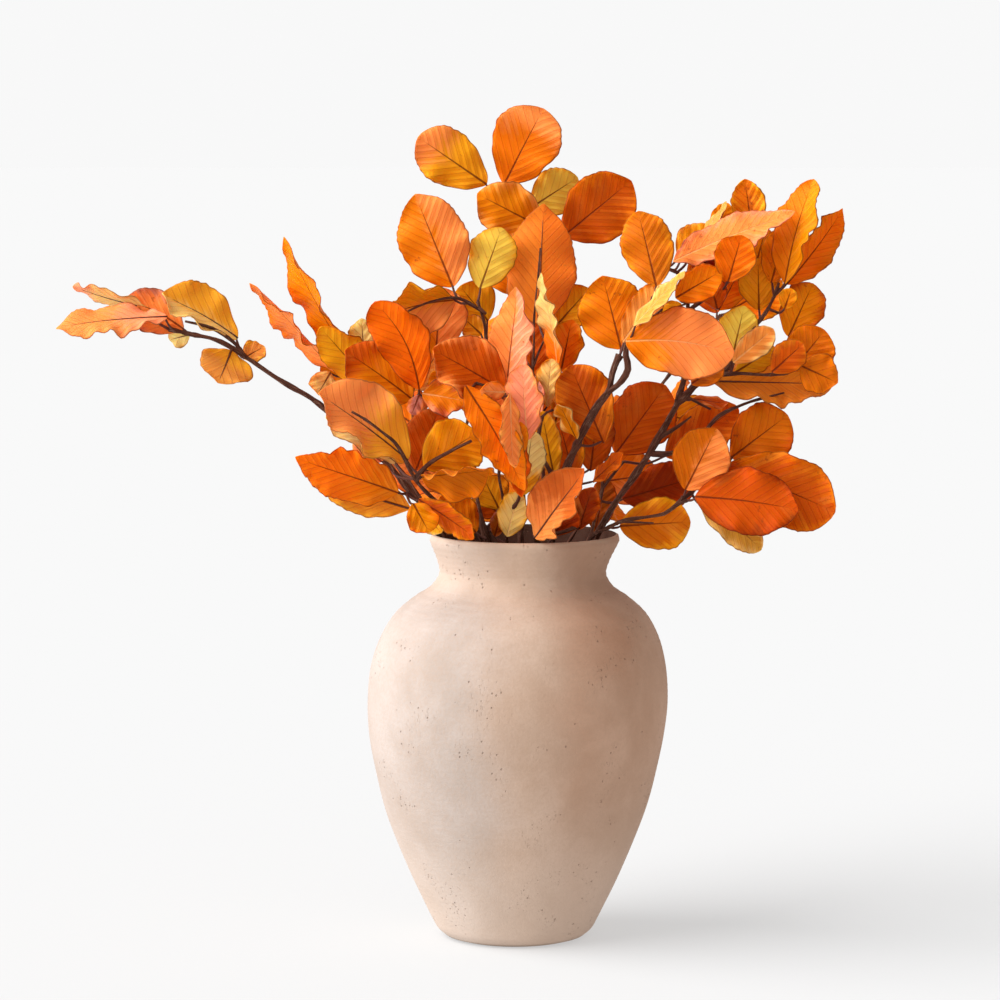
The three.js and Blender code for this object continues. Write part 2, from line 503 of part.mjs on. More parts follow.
function twig(from, to, path) {
  const last = path.at(-1);
  const back = path.at(-2).clone().sub(last);
  last.addScaledVector(back, Math.min(TWIG_END / back.length(), 0.5));
  const curve = new THREE.CatmullRomCurve3(path, false, "chordal");
  const steps = Math.max(path.length - 1, Math.round(curve.getLength() / STEM_STEP));
  const sides = from < TWIG_UNDER ? TWIG_SIDES : STEM_SIDES;
  const corners = [];
  for (let i = 0; i < sides; i++) {
    const angle = (2 * Math.PI * i) / sides;
    corners.push(new THREE.Vector2(Math.cos(angle), Math.sin(angle)));
  }
  const rod = new THREE.ExtrudeGeometry(new THREE.Shape(corners), {
    steps,
    bevelEnabled: false,
    extrudePath: curve,
  });
  const middles = curve.getSpacedPoints(steps);
  const places = rod.attributes.position;
  const place = new THREE.Vector3();
  for (let i = 0; i < places.count; i++) {
    place.fromBufferAttribute(places, i);
    const away = middles.map((middle) => middle.distanceTo(place));
    const ring = away.indexOf(Math.min(...away));
    const radius = THREE.MathUtils.lerp(from, to, ring / steps);
    place.sub(middles[ring]).multiplyScalar(radius).add(middles[ring]);
    places.setXYZ(i, place.x, place.y, place.z);
  }
  const line = [];
  for (let i = 0; i < steps * LINE_PARTS; i++) {
    const [ring, part] = [Math.floor(i / LINE_PARTS), (i % LINE_PARTS) / LINE_PARTS];
    line.push(middles[ring].clone().lerp(middles[ring + 1], part));
  }
  return { body: solid(rod), line };
}

// Leaves: a blade three points wide, folded along its rib, with a waved and toothed margin

function outline(along) {
  const widest = OUTLINE_BASE / (OUTLINE_BASE + OUTLINE_TIP);
  const fromBase = (along / widest) ** OUTLINE_BASE;
  return fromBase * ((1 - along) / (1 - widest)) ** OUTLINE_TIP;
}

// The blade's own directions at a place along it: where its right half points, and its face.
function bladeFrame(leaf, along) {
  const [, start, tip, , turn = 0, , bow = 0, sweep = 0, twist = 0] = leaf;
  const root = seen(start);
  const axis = seen(tip).sub(root);
  const length = axis.length();
  axis.normalize();
  const toViewer = EYE.clone().sub(root).projectOnPlane(axis).normalize();
  const face = toViewer.applyAxisAngle(axis, THREE.MathUtils.degToRad(-turn - twist * (along - 0.5)));
  const right = axis.clone().cross(face);
  const arch = length * Math.sin(Math.PI * along);
  const middle = root.addScaledVector(axis, length * along);
  middle.addScaledVector(face, bow * arch).addScaledVector(right, sweep * arch);
  return { middle, right, face, axis };
}

// Six corners round the blade at one place: left, rib and right on the face, then back again.
function bladeLoop(leaf, along, beat) {
  const { middle, right, face } = bladeFrame(leaf, along);
  const [, , , width, , fold = 0] = leaf;
  const lift = THREE.MathUtils.degToRad(fold);
  const half = (width / 2) * outline(along) * (1 + TOOTH * beat);
  const tops = [-1, 0, 1].map((side) => {
    const reach = right.clone().multiplyScalar(side * Math.cos(lift));
    reach.addScaledVector(face, Math.abs(side) * Math.sin(lift));
    const skin = face.clone().multiplyScalar(Math.cos(lift * side));
    skin.addScaledVector(right, -side * Math.sin(lift));
    const place = middle.clone().addScaledVector(reach, side === 0 ? 0 : half);
    place.addScaledVector(skin, side * beat * WAVE * width);
    return { place, skin };
  });
  const upper = tops.map(({ place, skin }) => place.clone().addScaledVector(skin, BLADE_THICK / 2));
  const lower = tops.map(({ place, skin }) => place.clone().addScaledVector(skin, -BLADE_THICK / 2));
  return [...upper, ...lower.reverse()];
}

// The loops joined into one skin, whose first and last loop are each one point. Both faces of a
// blade are split the same way.
function loft(loops) {
  const faces = [];
  for (let i = 0; i + 1 < loops.length; i++) {
    for (let k = 0; k < CORNERS; k++) {
      const a = i * CORNERS + k;
      const b = i * CORNERS + ((k + 1) % CORNERS);
      const [c, d] = [a + CORNERS, b + CORNERS];
      if (k < CORNERS / 2) faces.push(a, b, d, a, d, c);
      else faces.push(a, b, c, b, d, c);
    }
  }
  const geometry = new THREE.BufferGeometry();
  const places = loops.flat().flatMap((place) => place.toArray());
  geometry.setAttribute("position", new THREE.Float32BufferAttribute(places, 3));
  geometry.setIndex(faces);
  return geometry;
}

// Three corners round the stalk, each given to two corners of the blade.
function stalkLoop(middle, right, face, radius) {
  return STALK_CORNERS.flatMap((degrees) => {
    const angle = THREE.MathUtils.degToRad(degrees);
    const corner = middle.clone().addScaledVector(right, radius * Math.cos(angle));
    corner.addScaledVector(face, radius * Math.sin(angle));
    return [corner, corner];
  });
}

// A leaf with its stalk, which runs back into the nearest twig of its own spray and ends in the
// middle of the twig.
function leafBody(leaf, twigLine) {
  const { middle, axis, right, face } = bladeFrame(leaf, 0);
  const behind = middle.clone().addScaledVector(axis, -STALK);
  const gap = (place) => place.distanceTo(behind);
  const root = twigLine.reduce((best, place) => (gap(place) < gap(best) ? place : best));
  const stalkAxis = middle.clone().sub(root).normalize();
  const stalkFace = face.clone().projectOnPlane(stalkAxis).normalize();
  const stalkRight = stalkAxis.clone().cross(stalkFace);
  const tip = seen(leaf[2]);
  const rows = tip.distanceTo(middle) < SHORT_BLADE ? SHORT_ROWS : BLADE_ROWS;
  const loops = [
    Array(CORNERS).fill(root),
    stalkLoop(root, stalkRight, stalkFace, STALK_FOOT),
    stalkLoop(middle, right, face, STALK_TOP),
  ];
  for (let row = 1; row < rows; row++) loops.push(bladeLoop(leaf, row / rows, row % 2 === 0 ? 1 : -1));
  loops.push(Array(CORNERS).fill(tip));
  return solid(loft(loops));
}

function spray({ foot, neck, stems, leaves }) {
  const seat = new THREE.Vector3(foot[0], foot[1], FLOOR + SEAT_GAP);
  const throat = new THREE.Vector3(neck[0], neck[1], THROAT);
  const bodies = [];
  const lines = [];
  stems.forEach(([from, to, ...places], i) => {
    const path = places.map(seen);
    if (i === 0) path.unshift(seat, throat);
    const { body, line } = twig(from, to, path);
    bodies.push(body);
    lines.push(...line.filter(({ z }) => z > VASE_TALL - STALKS_BELOW));
  });
  leaves.forEach((leaf) => bodies.push(leafBody(leaf, lines)));
  return wasm.Manifold.union(bodies);
}

const part = new THREE.Group();
part.add(named("vase", geometryOf(vase()), CLAY, CLAY_ROUGHNESS));
for (const [name, plan] of Object.entries(SPRAYS)) {
  part.add(named(name, geometryOf(spray(plan)), plan.colour, LEAF_ROUGHNESS));
}

export default part;
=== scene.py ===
"""Beech branches in a vase: a turned clay vase, and the twigs and autumn leaves that stand in it.

The tables give millimetres, across, up and in depth as the branches are seen from the front. Every
mesh is in metres, in the frame's own place. The vase, and each branch's twigs and leaves, stand for
that node of the frame."""

import math
import random
from collections import namedtuple
from functools import reduce

import bmesh
import bpy
from bpy.props import FloatProperty, FloatVectorProperty, IntProperty, PointerProperty
from mathutils import Matrix, Quaternion, Vector, noise


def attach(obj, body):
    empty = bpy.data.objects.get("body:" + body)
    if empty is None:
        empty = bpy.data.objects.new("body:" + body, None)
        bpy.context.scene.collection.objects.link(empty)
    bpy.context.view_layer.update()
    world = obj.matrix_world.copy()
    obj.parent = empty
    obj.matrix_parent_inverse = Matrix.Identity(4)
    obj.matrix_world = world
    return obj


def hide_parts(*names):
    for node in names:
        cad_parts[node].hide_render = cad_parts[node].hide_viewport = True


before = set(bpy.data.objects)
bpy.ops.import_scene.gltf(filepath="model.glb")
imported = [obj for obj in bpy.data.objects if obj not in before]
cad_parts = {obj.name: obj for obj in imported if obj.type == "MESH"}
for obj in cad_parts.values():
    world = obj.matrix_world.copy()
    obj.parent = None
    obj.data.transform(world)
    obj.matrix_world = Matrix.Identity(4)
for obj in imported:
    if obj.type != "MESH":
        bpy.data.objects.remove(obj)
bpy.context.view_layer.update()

bl_info = {
    "name": "Beech branches in a vase",
    "version": (1, 0, 0),
    "blender": (4, 5, 0),
    "location": "3D View > Sidebar > Beech",
    "description": "Turns the clay vase and grows the beech sprays that stand in it",
    "category": "Object",
}

MM = 0.001
CURVE_PARTS = 24

# Where the branches are seen from, in millimetres, how far the camera looks down, and how the key
# light is turned, in degrees

EYE = Vector((-11.25, -2800, 602))
LOOK_DOWN = 5.58
LENS = 135.8
KEY_TURN = (58, 0, -76)

# Vase, in millimetres: radius and height round the outside and the inside, leaning to the right as
# it rises

VASE_TALL = 303.5
RIM_LEAN = 7.5  # how far right of the foot's middle the lip's middle lies
LEAN_POWER = 2.6
WALL = 6.5
FLOOR = 9
THROAT = 274
PLAIN_FOOT, PRESS_FADE = 4, 20  # no rings or hollows up to here, and how soon they are full
SHOULDER, SHOULDER_TALL = 200, 60  # where the rings begin to deepen, and over how much height
RING_PACE, RING_WOBBLE, HOLLOW_PACE = 1.5, 18, 26  # radians a millimetre, and scales of noise
VASE_OUTSIDE = [
    (47, 0), (53, 1.8), (58.4, 6.5), (62.6, 14), (67.5, 24), (77.2, 44), (87.5, 68), (97, 94),
    (104.4, 121), (110.2, 151), (112.3, 180), (109.6, 208), (103.4, 227), (93.5, 243.5),
    (80, 255.5), (67.5, 264.5), (62.3, THROAT), (64.6, 284), (69, 294), (70.8, 298.5),
    (70.4, 301.6), (68.4, VASE_TALL), (66.4, 301.8),
]
VASE_INSIDE = [
    (56.5, 0), (77.2, 44), (97, 94), (112.3, 180), (103.4, 227), (80, 255.5), (62.3, THROAT),
    (69, 294),
]
STAIN_AT = Vector((74, -82, 238)) * MM

# Twigs and stalks, in millimetres, counts, radians and shares

SEAT_GAP = 0.3  # between a stem's foot and the vase's floor
TWIG_END = 5  # how much shorter a twig is than its last place says
STOUT_OVER = 40  # how far above the lip a stout twig has its full thickness
KNOT_REACH, KNOT_SWELL = 3.5, 0.45  # the swelling where a stalk joins
LUMP, LUMP_PACE = 0.16, 120
WOUND_ABOVE, WOUND_RINGS = 1.5, 12  # the radius and rings past which shoots wind round a twig
SHOOT_SIDES = 6
SHOOT_TURNS = (0.4, 3.3)  # where round the twig each of its two shoots starts
SHOOT_SWAY, SWAY_PACE = 0.7, 70
STALK = 8
STALKS_BELOW = 16  # how far below the lip a stalk may start
STALK_SAG = 0.12
STALK_STEP, STALK_SIDES = 3, 6
STALK_JOINS, STALK_LIFT = 0.03, 0.4  # how far along the blade it ends, and how far off it
RIB_STEP, RIB_SIDES = 4, 5
RIB_LIFT, RIB_SINKS = 0.55, 0.2  # off the blade at its foot, and how much less at its tip
RIB_STOPS = (0.0, 0.15, 0.3, 0.45, 0.6, 0.75, 0.86)

# Leaves, in shares and millimetres

OUTLINE_BASE = 0.75  # power of the outline towards the foot
ROUND_TIP, POINTED_TIP = (0.5, 0.72), 0.85  # and towards the tip
VEIN_SLOPE = 1.15
WAVE = 0.07  # height of the waves along the margin, for the blade's width
WAVE_ROWS, SHORT_ROWS = 5, 4  # half waves along a blade, and along one that is short
SHORT_BLADE = 34
STEEP_TURN = 50  # past this turn, in degrees, the margins are calmer
FLICK_FROM, TIP_FROM = 0.72, 0.86  # where the tip starts to bend, and to narrow more
UNEVEN = 0.055  # change of the outline, for its width
TOOTH, RAGGED = 0.35, 0.7  # depth of the teeth at the veins, and of irregular ones
ROLL_LENGTH, ROLL_IN, ROLL_UP = 14.5, 0.6, 1.9  # the rolls of a wavy margin

# Sprays: where each stands in the vase, its twigs (thickness at both ends, then places), and its
# leaves: start and tip, width, look, then turn, fold, bow, sweep and twist as far as it has them.
# A look is its main hue, its second hue and, unless that lies along the edge, where it lies. The
# other words say that the underside shows in front, that the tip is pointed, that the margins are
# wavy, and that the rib is bare and pale. A stout spray's twigs thicken once they leave the vase.

Spray = namedtuple("Spray", "foot neck stems leaves stout")
Leaf = namedtuple("Leaf", "name start tip width look turn fold bow sweep twist", defaults=[0] * 5)


def spray(foot, neck, stems, leaves, stout=1):
    return Spray(foot, neck, stems, [Leaf(*leaf) for leaf in leaves], stout)


# Some leaves have lighter hues where they sit in shade and darker ones where the key light falls on
# them: painted light and shade in their looks
SPRAYS = {
    "far_left_branch": spray(foot=(-24, -6), neck=(-38, -10), stout=1.35, stems=[
        (3.1, 1.2, [(-53, 304, -14), (-75, 331, -20), (-105, 366, -26), (-128, 384, -28),
            (-148, 402, -30), (-175, 418, -30), (-200, 435, -28), (-222, 448, -26),
            (-240, 452, -25), (-262, 457, -24)]),
        (1.2, 0.8, [(-200, 435, -28), (-208, 445, -40), (-226, 457, -52), (-250, 463, -56)]),
    ], leaves=[
        ("long_low", (-258, 465, -36), (-341, 457, -48), 40, "salmon pink base under wavy", -60, 10,
            0.02),
        ("thin_high", (-272, 472, -16), (-328, 488, -6), 26, "cream pink tip under wavy bare", 66,
            8, 0.06, 0.08),
        ("dusky", (-246, 456, -22), (-290, 478, -16), 34, "salmon mauve", 10, 10, 0, 0.05),
        ("broad", (-206, 449, -34), (-263, 481, -42), 46, "cream gold right under bare", -44, 21,
            0.03, 0.02),
        ("hanging", (-211, 440, -33), (-221, 416, -42), 42, "peach gold base under pointed wavy",
            10, 8, 0.05),
        ("bud_side", (-202, 434, -22), (-186, 443, -16), 20, "peach gold", 30, 10),
        ("small_cream", (-242, 452, -20), (-257, 448, -12), 15, "ivory cream", 30),
    ]),
    "left_low_spray": spray(foot=(-20, -22), neck=(-30, -24), stems=[
        (2.8, 1.6, [(-44, 303, -34), (-62, 320, -48), (-76, 330, -58), (-85, 336, -62)]),
    ], leaves=[
        ("red_long", (-87, 334, -64), (-164, 360, -84), 42, "vivid orange base pointed wavy", 28,
            12, 0.03, 0.02, 10),
        ("under_long", (-78, 322, -56), (-150, 352, -66), 32, "amber gold under", 12, 10, 0, -0.04),
        ("amber_drop", (-76, 326, -82), (-64, 304, -92), 24, "amber vivid wavy", 18, 8),
        ("gold_drop", (-68, 318, -52), (-55, 304, -64), 16, "gold cream", -15, 6),
        ("over_lip", (-72, 329, -68), (-29, 300, -88), 20, "deep amber wavy", -24, 10, 0.06, -0.04),
    ]),
    "left_front_branch": spray(foot=(-10, -30), neck=(-18, -36), stout=1.2, stems=[
        (2.7, 0.9, [(-34, 302, -54), (-52, 322, -66), (-70, 338, -78), (-78, 350, -88),
            (-83, 361, -98), (-90, 372, -106), (-100, 380, -112), (-112, 389, -116),
            (-126, 397, -119)]),
        (1.5, 0.9, [(-74, 344, -82), (-66, 354, -88), (-48, 365, -94), (-28, 375, -98)]),
    ], leaves=[
        ("big_underside", (-80, 358, -80), (-147, 408, -100), 60, "salmon gold base under", -34, 36,
            0.03),
        ("cream_under", (-88, 356, -64), (-140, 392, -74), 28, "sage cream", -58, 6),
        ("peach_under", (-99, 357, -52), (-120, 373, -56), 18, "pink peach", 25),
        ("amber_round", (-68, 353, -79), (-28, 379, -84), 44, "amber gold", -8, -8),
        ("brown_below", (-70, 346, -84), (-20, 351, -98), 46, "ochre orange", -54, 30),
    ]),
    "left_upper_branch": spray(foot=(-22, 8), neck=(-38, 8), stems=[
        (3, 1.6, [(-54, 305, 10), (-78, 340, 18), (-98, 368, 24), (-114, 392, 26), (-123, 408, 24),
            (-127, 417, 22), (-129, 425, 18)]),
    ], leaves=[
        ("tall_wavy", (-125, 437, 12), (-172, 524, 0), 40, "amber vivid pointed wavy", 66, 10, 0.02,
            0.01),
        ("vivid_side", (-104, 411, 2), (-145, 458, -18), 34, "gold amber", 25, 10),
        ("amber_side", (-119, 415, 24), (-143, 434, 30), 24, "amber orange", -10, 8),
        ("edge_on", (-132, 423, 16), (-195, 492, 4), 42, "salmon vivid pointed wavy", 74, 13),
        ("peach_fold", (-137, 424, 14), (-147, 407, 4), 22, "cream peach wavy", 15),
        ("small_yellow", (-112, 434, 30), (-114, 464, 34), 22, "ivory gold wavy", 10),
        ("yellow_curl", (-104, 411, -14), (-120, 432, -28), 16, "cream gold", 50, 0, 0.1),
    ]),
    "left_centre_branch": spray(foot=(-8, -14), neck=(-14, -12), stems=[
        (2.8, 1.4, [(-28, 304, -16), (-48, 335, -24), (-66, 370, -34), (-76, 393, -40),
            (-73, 403, -44), (-70, 411, -46)]),
    ], leaves=[
        ("dark_tip", (-77, 404, -46), (-127, 440, -58), 46, "amber deep tip", -22, 22, 0.03),
        ("red_rib", (-71, 411, -60), (-104, 477, -77), 40, "vivid deep", 14, 12, 0.02, 0.09),
        ("striped_salmon", (-69, 408, -55), (-36, 402, -65), 28, "orange pink wavy bare", 10, 8,
            0.06),
        ("mauve_scrap", (-71, 407, -54), (-77, 392, -60), 12, "mauve salmon"),
        ("amber_low", (-41, 403, -40), (-62, 424, -46), 25, "amber orange", 0, 8),
        ("deep_red", (-74, 350, -42), (-56, 398, -46), 38, "deep salmon", 0, 12),
    ]),
    "upper_left_branch": spray(foot=(-10, 6), neck=(-16, 8), stems=[
        (2.6, 1.3, [(-24, 304, 8), (-30, 350, 8), (-28, 400, 4), (-22, 440, 0), (-22, 456, -6),
            (-29, 481, -13)]),
        (1.2, 0.7, [(-26, 470, -10), (-43, 479, -16), (-60, 477, -20), (-76, 471, -25),
            (-89, 464, -30)]),
        (1.3, 1.1, [(-27, 472, -11), (-18, 464, -14)]),
    ], leaves=[
        ("round_left", (-46, 487, -12), (-74, 556, -2), 52, "orange salmon right", 4, -6, 0.03),
        ("olive_left", (-26, 486, -6), (-10, 531, 2), 36, "olive gold", 0, -6),
        ("drooping", (-44, 478, -8), (-98, 466, -14), 48, "salmon gold right", 28, 28, 0.02, 0.05),
        ("half_salmon", (-59, 437, -2), (-55, 487, 8), 44, "amber salmon right", 0, 10),
        ("behind_twig", (-20, 462, 16), (-41, 488, 18), 38, "gold amber"),
        ("gold_scrap", (-25, 452, 4), (-38, 464, 10), 18, "gold peach"),
    ]),
    "top_branch": spray(foot=(4, 8), neck=(2, 16), stems=[
        (2.6, 1, [(4, 304, 20), (6, 350, 26), (6, 400, 32), (2, 450, 38), (-2, 490, 42),
            (-5, 526, 44), (-7, 556, 44)]),
        (1.8, 1, [(6, 400, 32), (13, 440, 36), (23, 480, 42), (32, 514, 46), (37, 525, 44)]),
    ], leaves=[
        ("top_gold", (-21, 563, 40), (-72, 598, 34), 43, "gold salmon tip", 0, -5, 0.02),
        ("crown", (-8, 563, 42), (21, 619, 46), 52, "orange salmon tip", 6, 8, 0.03),
        ("front_of_crown", (20, 531, 34), (-28, 556, 26), 42, "amber peach", 0, 8, 0.03),
        ("olive_right", (12, 546, 52), (46, 568, 60), 36, "olive gold"),
        ("dark_right", (36, 525, 42), (86, 566, 36), 52, "deep orange", -6, 8, 0.02),
    ]),
    "centre_branch": spray(foot=(12, -4), neck=(14, -2), stems=[
        (2.4, 0.7, [(18, 304, -4), (21, 345, -6), (19, 380, -10), (15, 405, -12), (13, 425, -10),
            (14, 442, -8), (14, 462, -6), (17, 495, -4), (19, 521, 0)]),
        (1.1, 0.7, [(13, 427, -10), (18, 440, -6), (24, 453, -2)]),
        (1.2, 0.8, [(14, 421, -11), (8, 433, -8), (3, 441, -4)]),
    ], leaves=[
        ("great_back", (17, 460, 6), (21, 549, 16), 56, "orange vivid right under pointed", 0, -12,
            0.02),
        ("dark_behind", (12, 420, 4), (12, 468, 14), 40, "deep orange pointed", 0, 6),
        ("cream_curl", (32, 424, -14), (17, 497, -22), 24, "cream vivid base pointed wavy bare", 60,
            8, 0, 0.06),
        ("amber_behind", (31, 459, 16), (55, 486, 24), 32, "gold amber"),
        ("brown_pink", (34, 424, -8), (42, 463, -12), 26, "vivid amber", 10, 8),
        ("yellow_mid", (24, 398, -16), (27, 434, -22), 20, "cream amber wavy bare", 20, 10),
        ("amber_mid", (30, 386, -10), (35, 413, -16), 13, "amber gold", 10),
        ("rose_sliver", (17, 390, -16), (18, 417, -20), 15, "mauve pink", 60),
    ]),
    "centre_front_branch": spray(foot=(-2, -20), neck=(0, -26), stems=[
        (2.2, 1, [(-7, 303, -42), (-7, 318, -50), (-10, 335, -58), (-12, 346, -62), (-6, 375, -70),
            (-3, 395, -74), (-8, 410, -78)]),
        (1.3, 0.9, [(-6, 403, -76), (-20, 413, -84), (-34, 417, -88)]),
        (1.4, 0.9, [(-7, 316, -50), (3, 330, -66), (5, 343, -74), (5, 365, -80)]),
    ], leaves=[
        ("tall_salmon", (-7, 402, -76), (3, 487, -70), 36, "salmon pink right pointed wavy", 28, 16,
            0.02, 0, 10),
        ("broad_centre", (-8, 410, -78), (-62, 441, -88), 48, "deep salmon wavy", -16, 16, 0.03),
        ("long_hanging", (-37, 414, -95), (7, 335, -101), 30, "vivid orange pointed wavy", 10, 12,
            0.03, -0.02),
        ("vivid_drop", (-8, 388, -72), (4, 330, -80), 23, "red vivid pointed wavy", 25, 12, 0.02),
        ("salmon_drop", (-4, 408, -96), (-2, 352, -110), 20, "salmon peach bare", 40, 10),
        ("pink_fold", (-7, 409, -92), (-26, 410, -99), 15, "salmon vivid wavy bare", 20),
        ("pink_twist", (9, 373, -82), (6, 430, -93), 30, "pink salmon wavy bare", 20, 16, 0.02, 0,
            30),
        ("tan_inside", (4, 382, -68), (3, 413, -70), 14, "tan gold"),
        ("cream_upright", (6, 332, -55), (13, 381, -62), 26, "ivory gold base wavy", 0, 8),
        ("small_brown", (5, 363, -92), (4, 387, -94), 11, "orange amber"),
        ("yellow_striped", (-6, 301, -52), (3, 335, -64), 24, "cream gold wavy bare", 10, 8),
        ("salmon_low", (-15, 301, -36), (-10, 320, -42), 13, "brown mauve"),
    ]),
    "front_left_spray": spray(foot=(-14, -14), neck=(-12, -22), stems=[
        (2.6, 1.6, [(-20, 302, -34), (-24, 312, -40), (-27, 324, -46), (-30, 337, -50)]),
    ], leaves=[
        ("brown_low", (-29, 304, -30), (-56, 332, -34), 32, "orange amber", 0, 8),
        ("amber_inner", (-12, 322, -34), (-24, 346, -40), 30, "gold amber", 0, 6),
        ("dark_inner", (-11, 318, -28), (-27, 329, -32), 20, "deep dark"),
    ]),
    "front_right_spray": spray(foot=(14, -26), neck=(16, -36), stems=[
        (2.4, 1.5, [(15, 300, -50), (13, 304, -54)]),
        (1.8, 1.2, [(15, 300, -50), (34, 304, -46), (50, 310, -40)]),
    ], leaves=[
        ("folded_front", (15, 300, -64), (54, 352, -90), 45, "deep salmon base under pointed wavy",
            30, 26, 0.02),
        ("deep_low", (47, 306, -38), (58, 338, -46), 20, "dark deep"),
        ("dark_low", (30, 302, -40), (40, 326, -44), 26, "dark red"),
    ]),
    "centre_right_branch": spray(foot=(20, -14), neck=(26, -16), stout=1.15, stems=[
        (3.6, 2.4, [(28, 304, -22), (29, 325, -28), (31, 340, -36), (37, 351, -40), (43, 363, -44),
            (48, 374, -46), (55, 388, -50), (62, 400, -52), (70, 411, -54), (72, 422, -54),
            (75, 431, -52), (80, 441, -50)]),
        (2.4, 1.3, [(69, 409, -54), (79, 417, -60), (84, 427, -64), (82, 438, -64), (84, 448, -61),
            (93, 457, -58), (99, 470, -54), (104, 484, -48)]),
        (2, 0.9, [(31, 341, -36), (25, 352, -44), (20, 361, -48), (17, 371, -52), (18, 380, -54),
            (22, 393, -56), (33, 398, -58)]),
        (1, 0.7, [(21, 358, -47), (25, 368, -48)]),
        (1.2, 0.8, [(88, 451, -56), (100, 463, -56), (113, 474, -54)]),
    ], leaves=[
        ("round_striped", (79, 441, -40), (65, 495, -28), 50, "orange amber", 0, -8),
        ("peach_stalk", (80, 446, -48), (109, 489, -44), 26, "peach orange bare", 15, 8),
        ("big_front", (82, 447, -66), (163, 438, -80), 51, "salmon orange base bare", 0, 12, 0.03,
            -0.05),
        ("cream_twisted", (88, 458, -72), (126, 499, -78), 24, "peach cream pointed wavy bare", 62,
            6),
        ("amber_top", (105, 487, -46), (91, 544, -26), 38, "ochre amber", 0, -6, 0.02),
        ("dark_orange", (66, 371, -38), (41, 429, -28), 44, "deep orange", 0, 10),
        ("red_shade", (44, 345, -30), (33, 387, -26), 28, "deep amber", 0, 6),
        ("deep_shade", (56, 350, -22), (62, 400, -18), 30, "deep dark"),
        ("amber_gap", (29, 346, -34), (20, 395, -40), 20, "gold peach", 0, 8),
        ("wavy_edge", (46, 374, -52), (33, 401, -60), 22, "amber cream wavy", 58),
        ("thin_orange", (58, 342, -34), (81, 363, -42), 18, "deep vivid", 55),
    ]),
    "right_main_branch": spray(foot=(32, -4), neck=(47, -4), stout=1.2, stems=[
        (3.4, 2.2, [(62, 304, -4), (70, 319, -6), (85, 341, -8), (98, 360, -10), (106, 374, -12),
            (115, 390, -14), (121, 401, -15), (125, 412, -16)]),
        (2.2, 1, [(121, 402, -15), (128, 430, -16), (129, 455, -14), (128, 480, -12),
            (129, 502, -10)]),
        (2.4, 0.9, [(121, 401, -15), (140, 418, -18), (151, 422, -20), (160, 429, -22),
            (168, 442, -22), (177, 456, -22), (187, 470, -20), (194, 485, -18), (197, 495, -16)]),
        (1.5, 0.7, [(150, 422, -20), (165, 423, -26), (190, 422, -32), (205, 424, -36),
            (213, 429, -38)]),
        (2, 0.7, [(99, 363, -10), (112, 363, -16), (125, 366, -20), (136, 373, -22),
            (150, 390, -22), (170, 400, -24), (205, 410, -30)]),
        (1.8, 0.5, [(107, 375, -12), (122, 384, -16), (135, 394, -18)]),
        (1, 0.7, [(124, 408, -16), (138, 400, -18), (150, 394, -20)]),
        (1.3, 0.9, [(129, 470, -13), (140, 478, -12), (152, 486, -8), (166, 500, 0),
            (177, 520, 10)]),
        (0.9, 0.6, [(188, 471, -20), (200, 466, -24)]),
        (0.9, 0.8, [(129, 486, -12), (120, 498, -10), (106, 503, -7)]),
    ], leaves=[
        ("long_salmon", (117, 506, -8), (208, 542, -20), 34, "salmon pink pointed wavy bare", 38,
            10, 0.03),
        ("cream_strip", (130, 513, 4), (157, 550, 6), 18, "peach cream bare", 66),
        ("amber_scrap", (146, 526, 12), (158, 549, 16), 16, "amber gold"),
        ("amber_edge", (122, 506, 14), (144, 533, 20), 30, "gold peach"),
        ("upright_amber", (176, 526, 16), (170, 567, 22), 27, "ochre gold", 10, 8),
        ("upper_right", (200, 489, -18), (221, 567, -12), 36, "amber orange left wavy", 40, 12,
            0.02, -0.02),
        ("far_right", (201, 489, -8), (243, 545, -4), 30, "vivid orange pointed wavy", -25, 20, 0,
            0.02),
        ("dark_upper", (190, 490, -4), (201, 531, 0), 28, "orange amber", 20, 8),
        ("brown_amber", (181, 470, 0), (180, 508, 6), 33, "gold amber", 0, 8),
        ("vivid_upper", (158, 491, -32), (168, 526, -42), 32, "vivid orange", 0, 10, 0.03),
        ("amber_between", (178, 503, 14), (186, 531, 18), 18, "gold amber"),
        ("dark_curl", (130, 498, -12), (152, 512, -12), 18, "dark deep", 45),
        ("orange_behind", (128, 492, 8), (147, 511, 12), 20, "orange amber"),
        ("orange_low", (119, 479, -28), (153, 499, -36), 26, "orange vivid", 0, 10),
        ("orange_scrap", (124, 474, -18), (110, 465, -22), 16, "gold amber"),
        ("dark_pair", (150, 471, -20), (144, 494, -21), 20, "deep red", 0, 8),
        ("vivid_pair", (151, 470, 4), (167, 500, 12), 26, "vivid amber", 0, 8),
        ("yellow_green", (161, 432, -28), (170, 473, -20), 32, "olive gold"),
        ("peach_striped", (162, 431, -30), (192, 456, -34), 22, "peach cream bare", 0, 8),
        ("brown_right", (203, 450, -16), (221, 490, -6), 34, "amber deep wavy", 0, 8),
        ("gold_small", (200, 471, -28), (205, 486, -30), 13, "amber gold"),
        ("orange_right", (206, 425, -34), (230, 455, -30), 36, "ochre orange wavy", 0, 8),
        ("red_right", (191, 424, -46), (214, 445, -56), 24, "deep ochre", 0, 8),
        ("corner_right", (212, 429, -46), (240, 416, -50), 30, "ochre orange pointed wavy", 0, 8),
        ("long_low_right", (146, 417, -14), (236, 415, -22), 40, "orange amber left under wavy", 35,
            10),
        ("amber_inner_right", (164, 424, -18), (193, 442, -14), 20, "gold amber"),
        ("peach_inner_right", (131, 415, -28), (154, 431, -34), 20, "brown orange", 0, 8),
        ("dark_sliver", (131, 404, -12), (158, 400, -8), 14, "deep salmon", 55),
    ]),
    "right_low_branch": spray(foot=(30, -20), neck=(44, -22), stems=[
        (2.7, 1.3, [(60, 303, -30), (68, 307, -36), (78, 312, -42), (100, 316, -50),
            (111, 318, -52), (121, 325, -52), (133, 330, -54)]),
